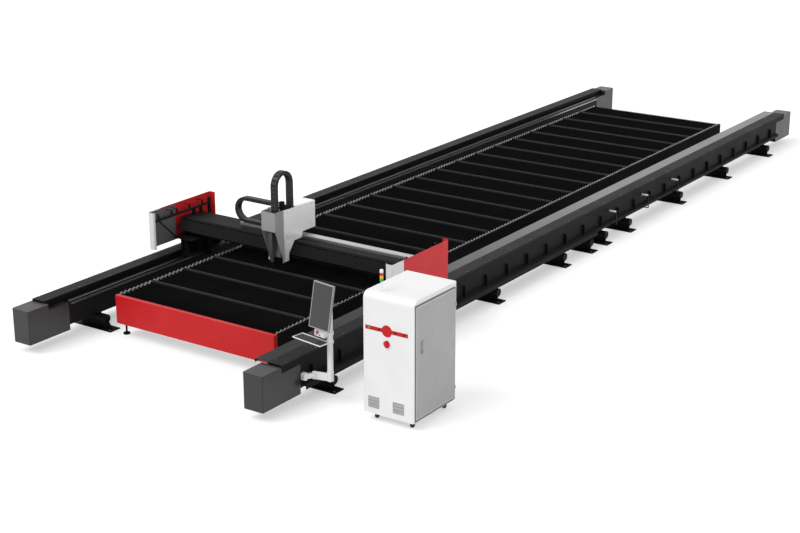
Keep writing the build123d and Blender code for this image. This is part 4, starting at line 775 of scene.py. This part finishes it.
# Filter grilles: a rim round sloping louvres
vents = {
    "x": (3283, 3652),
    "z": 268,
    "halfWide": 82.5,
    "halfHigh": 74,
    "rim": 7,
    "rimProud": 3,
    "louvres": 9,
    "louvreProud": 2.4,
    "louvreBack": 0.1,
    "louvreStart": 1,
    "lipShare": 0.55,            # top of a louvre's front lip, as a share of the step
    "backShares": (0.72, 0.82),  # bottom and top of its back edge
}
shape = newShape()
for x in vents["x"]:
    left, right = x - vents["halfWide"], x + vents["halfWide"]
    base, top = vents["z"] - vents["halfHigh"], vents["z"] + vents["halfHigh"]
    rim = vents["rim"]
    for low, high in (((left, base), (right, base + rim)),
                      ((left, top - rim), (right, top)),
                      ((left, base + rim), (left + rim, top - rim)),
                      ((right - rim, base + rim), (right, top - rim))):
        addBlock(shape, (low[0], face - vents["rimProud"], low[1]),
                 (high[0], face, high[1]))
    front, back = face - vents["louvreProud"], face - vents["louvreBack"]
    step = (top - base - 2 * rim) / vents["louvres"]
    backLow, backHigh = vents["backShares"]
    for k in range(vents["louvres"]):
        low = base + rim + k * step
        louvre = [(front, low + vents["louvreStart"]), (back, low + step * backLow),
                  (back, low + step * backHigh), (front, low + step * vents["lipShare"])]
        addPrism(shape, louvre, "x", left + rim, right - left - 2 * rim)
ventGrilles = finishPiece("vent_grilles", shape, "grille", "machine", edge=0.5)

# Lamp and caps on the trim band: round bodies with a shallow cone on each
bandButtons = {
    "z": 1247,
    "lampX": 3227,
    "capX": (3371, 3608, 3737),
    "radius": 15,
    "seat": 3,
    "body": 8,
    "sides": 28,
    "lampCone": {"high": 3, "tip": 13},
    "capCone": {"high": 2, "tip": 12},
}


def addBandButton(shape, x, cone):
    seat = (x, face - bandButtons["seat"], bandButtons["z"])
    front = (x, seat[1] - bandButtons["body"], bandButtons["z"])
    addDrum(shape, front, "y", bandButtons["radius"], -cone["high"],
            bandButtons["sides"], cone["tip"])
    addDrum(shape, seat, "y", bandButtons["radius"], -bandButtons["body"],
            bandButtons["sides"])


shape = newShape()
addBandButton(shape, bandButtons["lampX"], bandButtons["lampCone"])
lamp = finishPiece("band_lamp", shape, "greenCap", "machine", smooth=True)
shape = newShape()
for x in bandButtons["capX"]:
    addBandButton(shape, x, bandButtons["capCone"])
caps = finishPiece("band_caps", shape, "darkCap", "machine", smooth=True)

# Plugs on the cabinet's top
plugs = {"x": (3210, 3800), "y": (1010, 1700), "radius": 12, "high": 4, "tip": 9,
         "sides": 20}
shape = newShape()
for x in plugs["x"]:
    for y in plugs["y"]:
        addDrum(shape, (x, y, cabinet["top"]), "z", plugs["radius"], plugs["high"],
                plugs["sides"], plugs["tip"])
topScrews = finishPiece("cabinet_top_plugs", shape, "white", "machine", smooth=True)

# Grey strip in the gap between the door and the shell, in front, above and below: painted
# shadow of the gap
gapShadow = {"deep": 6, "proud": 0.8, "half": 9, "below": 5, "above": 2, "rearEnd": 30}
shape = newShape()
gapShadowX = (cabinet["right"] - gapShadow["deep"], cabinet["right"] + gapShadow["proud"])
gapShadowY = (doorFront + gapShadow["half"], doorBack - gapShadow["rearEnd"])
gapShadowTop = doorHigh + gapShadow["half"]
gapShadowBase = doorLow - gapShadow["below"]
for low, high in (((doorFront - gapShadow["half"], gapShadowBase), (gapShadowY[0], gapShadowTop)),
                  ((gapShadowY[0], doorHigh - gapShadow["half"]), (gapShadowY[1], gapShadowTop)),
                  ((gapShadowY[0], gapShadowBase), (gapShadowY[1], doorLow + gapShadow["above"]))):
    addBlock(shape, (gapShadowX[0], *low), (gapShadowX[1], *high))
doorGapShadow = finishPiece("door_gap_shadow", shape, "gapShadow", "machine", edge=1)
print("cabinet trim made")

# Console: display glass in the bezel's recess. It is drawn upright and square, then
# leaned back about the screen's pin and turned round the pole with the screen.
console = {
    "pole": (2530, 955),
    "turn": -9,
    "lean": 10.5,
    "tiltY": 903, "tiltZ": 1245,
    "glassY": (839.6, 841.2),
    "glassX": (2316, 2646),
    "glassZ": (1058, 1624),
}
shape = newShape()
addBlock(shape, *zip(console["glassX"], console["glassY"], console["glassZ"]))
lean = Matrix.Rotation(math.radians(-console["lean"]), 4, "X")
turn = Matrix.Rotation(math.radians(console["turn"]), 4, "Z")
hinge = place(console["pole"][0], console["tiltY"], console["tiltZ"])
poleFoot = place(*console["pole"], 0)
for k, corner in enumerate(shape[0]):
    leaned = hinge + lean @ (corner - hinge)
    shape[0][k] = poleFoot + turn @ (leaned - poleFoot)
screenGlass = finishPiece("screen_glass", shape, "screen", "monitor", edge=0.4)
print("console trim made")

# Button heads along the rail covers
coverHeads = {
    "x": (2020, 2180),
    "y": range(500, 16900, 610),
    "z": 660,
    "radius": 7,
    "high": 3,
    "tip": 4.9,
    "sides": 10,
}
shape = newShape()
for side in (-1, 1):
    for y in coverHeads["y"]:
        for x in coverHeads["x"]:
            addDrum(shape, (side * x, y, coverHeads["z"]), "z", coverHeads["radius"],
                    coverHeads["high"], coverHeads["sides"], coverHeads["tip"])
coverScrews = finishPiece("cover_screws", shape, "zinc", "machine", smooth=True)

# Doubler on the lower part of the carriage's side, and the screws of that side
carriageSide = {
    "x": 35,
    "doubler": [(3240, 840), (3300, 840), (3309, 944), (3437, 1107), (3616, 1107),
                (3616, 1136), (3256, 1136), (3240, 1120)],
    "thick": 1.6,
    "screws": [(3290, 1560), (3860, 1550), (3860, 1250), (3290, 1200), (3262, 870),
               (3580, 1121)],
    "radius": 7,
    "high": 3,
    "tip": 5,
    "sides": 14,
}
shape = newShape()
addPrism(shape, carriageSide["doubler"], "x", carriageSide["x"], carriageSide["thick"])
doubler = finishPiece("carriage_doubler", shape, "white", "carriage", edge=0.4)
shape = newShape()
for y, z in carriageSide["screws"]:
    addDrum(shape, (carriageSide["x"], y, z), "x", carriageSide["radius"],
            carriageSide["high"], carriageSide["sides"], carriageSide["tip"])
sideScrews = finishPiece("carriage_screws", shape, "zinc", "carriage", smooth=True)
print("fasteners made")

# Grey liner sheets on the inner faces of the side panels, seen from the bed
liner = {"x": 2203.6, "thick": 1, "y": (2816, 3364), "z": (750, 1298)}
shape = newShape()
for side in (-1, 1):
    sheetX = sorted((side * liner["x"], side * (liner["x"] - liner["thick"])))
    addBlock(shape, *zip(sheetX, liner["y"], liner["z"]))
liners = finishPiece("panel_liner_faces", shape, "linerGrey", "gantry")

# Folded edge round the cabinet door: a grey groove strip, painted shadow of the gap, and a
# plain white rim beside it, each from one distance to another inside the door's outline
doorEdge = {"x": (3881, 3883.2), "grooveShadow": (3, 26), "rim": (26, 33), "baseShare": 0.5}


def addDoorEdge(shape, start, end):
    # front, top and bottom strips; the back has the hinges
    low = (doorFront + start, doorLow + start)
    high = (doorBack - start, doorHigh - start)
    wide = end - start
    inner = low[0] + wide
    for a, b in ((low, (inner, high[1])),
                 ((inner, high[1] - wide), high),
                 ((inner, low[1]), (high[0], low[1] + wide * doorEdge["baseShare"]))):
        addBlock(shape, (doorEdge["x"][0], *a), (doorEdge["x"][1], *b))


# the grey strip: painted shadow of the gap
shape = newShape()
addDoorEdge(shape, *doorEdge["grooveShadow"])
grooveShadow = finishPiece("door_groove_shadow", shape, "grooveShadowGrey", "cabinet_door", edge=0.6)
shape = newShape()
addDoorEdge(shape, *doorEdge["rim"])
doorRim = finishPiece("door_rim", shape, "white", "cabinet_door", edge=0.6)
print("sheets and door edge made")

# Studio: floor, sun and world
studio = {
    "floorHalf": 150,
    "floorGlow": 0.42,   # added to the floor's white where it is seen
    "floorColour": "#d8d8d8",
    "sky": 0.54,         # the dome's light from the left
    "wall": 0.6,         # what it gains towards the right
    "sun": 1.9,
    "sunFrom": (-0.30, -0.58, 0.76),
    "sunSoft": 40,       # degrees
}


def seenDirectly(owner):
    # one for what the camera and mirror-like faces see, else nought
    rays = addNode(owner, "ShaderNodeLightPath")
    return addNode(owner, "ShaderNodeMath", {"operation": "MAXIMUM"}, None,
                   {0: (rays, "Is Camera Ray"), 1: (rays, "Is Glossy Ray")})


side = studio["floorHalf"]
floorMesh = bpy.data.meshes.new("floor")
floorMesh.from_pydata([(-side, -side, 0), (side, -side, 0), (side, side, 0),
                       (-side, side, 0)], [], [(0, 1, 2, 3)])
floor = bpy.data.objects.new("floor", floorMesh)
bpy.context.scene.collection.objects.link(floor)
floorPaint = bpy.data.materials.new("white studio floor")
floorPaint.use_nodes = True
floorPaint.node_tree.nodes.clear()
glow = addNode(floorPaint, "ShaderNodeMath", {"operation": "MULTIPLY"},
               {1: studio["floorGlow"]}, {0: (seenDirectly(floorPaint), 0)})
light = addNode(floorPaint, "ShaderNodeEmission", None, None, {"Strength": (glow, 0)})
matt = addNode(floorPaint, "ShaderNodeBsdfDiffuse", None,
               {"Color": hexColour(studio["floorColour"])})
both = addNode(floorPaint, "ShaderNodeAddShader", None, None,
               {0: (light, 0), 1: (matt, 0)})
addNode(floorPaint, "ShaderNodeOutputMaterial", None, None, {0: (both, 0)})
floorMesh.materials.append(floorPaint)

# The world is plain white where it is seen. The light that it gives is brighter
# from the right, as from a white wall beside the machine.
world = bpy.data.worlds.new("studio")
bpy.context.scene.world = world
world.use_nodes = True
world.node_tree.nodes.clear()
ways = addNode(world, "ShaderNodeTexCoord")
dome = addRange(world, splitAxes(world, ways, "Generated"), (0, 1),
                (studio["sky"], studio["sky"] + studio["wall"]))
power = addNode(world, "ShaderNodeMapRange", None,
                {"From Min": 0, "From Max": 1, "To Max": 1},
                {"Value": (seenDirectly(world), 0), "To Min": (dome, 0)})
sky = addNode(world, "ShaderNodeBackground", None, {"Color": (1, 1, 1, 1)},
              {"Strength": (power, 0)})
addNode(world, "ShaderNodeOutputWorld", None, None, {0: (sky, 0)})

sunData = bpy.data.lights.new("soft key", "SUN")
sunData.energy = studio["sun"]
sunData.angle = math.radians(studio["sunSoft"])
sun = bpy.data.objects.new("soft key", sunData)
sun.rotation_euler = Vector(studio["sunFrom"]).to_track_quat("Z", "Y").to_euler()
bpy.context.scene.collection.objects.link(sun)
print("studio set")

bpy.context.view_layer.update()
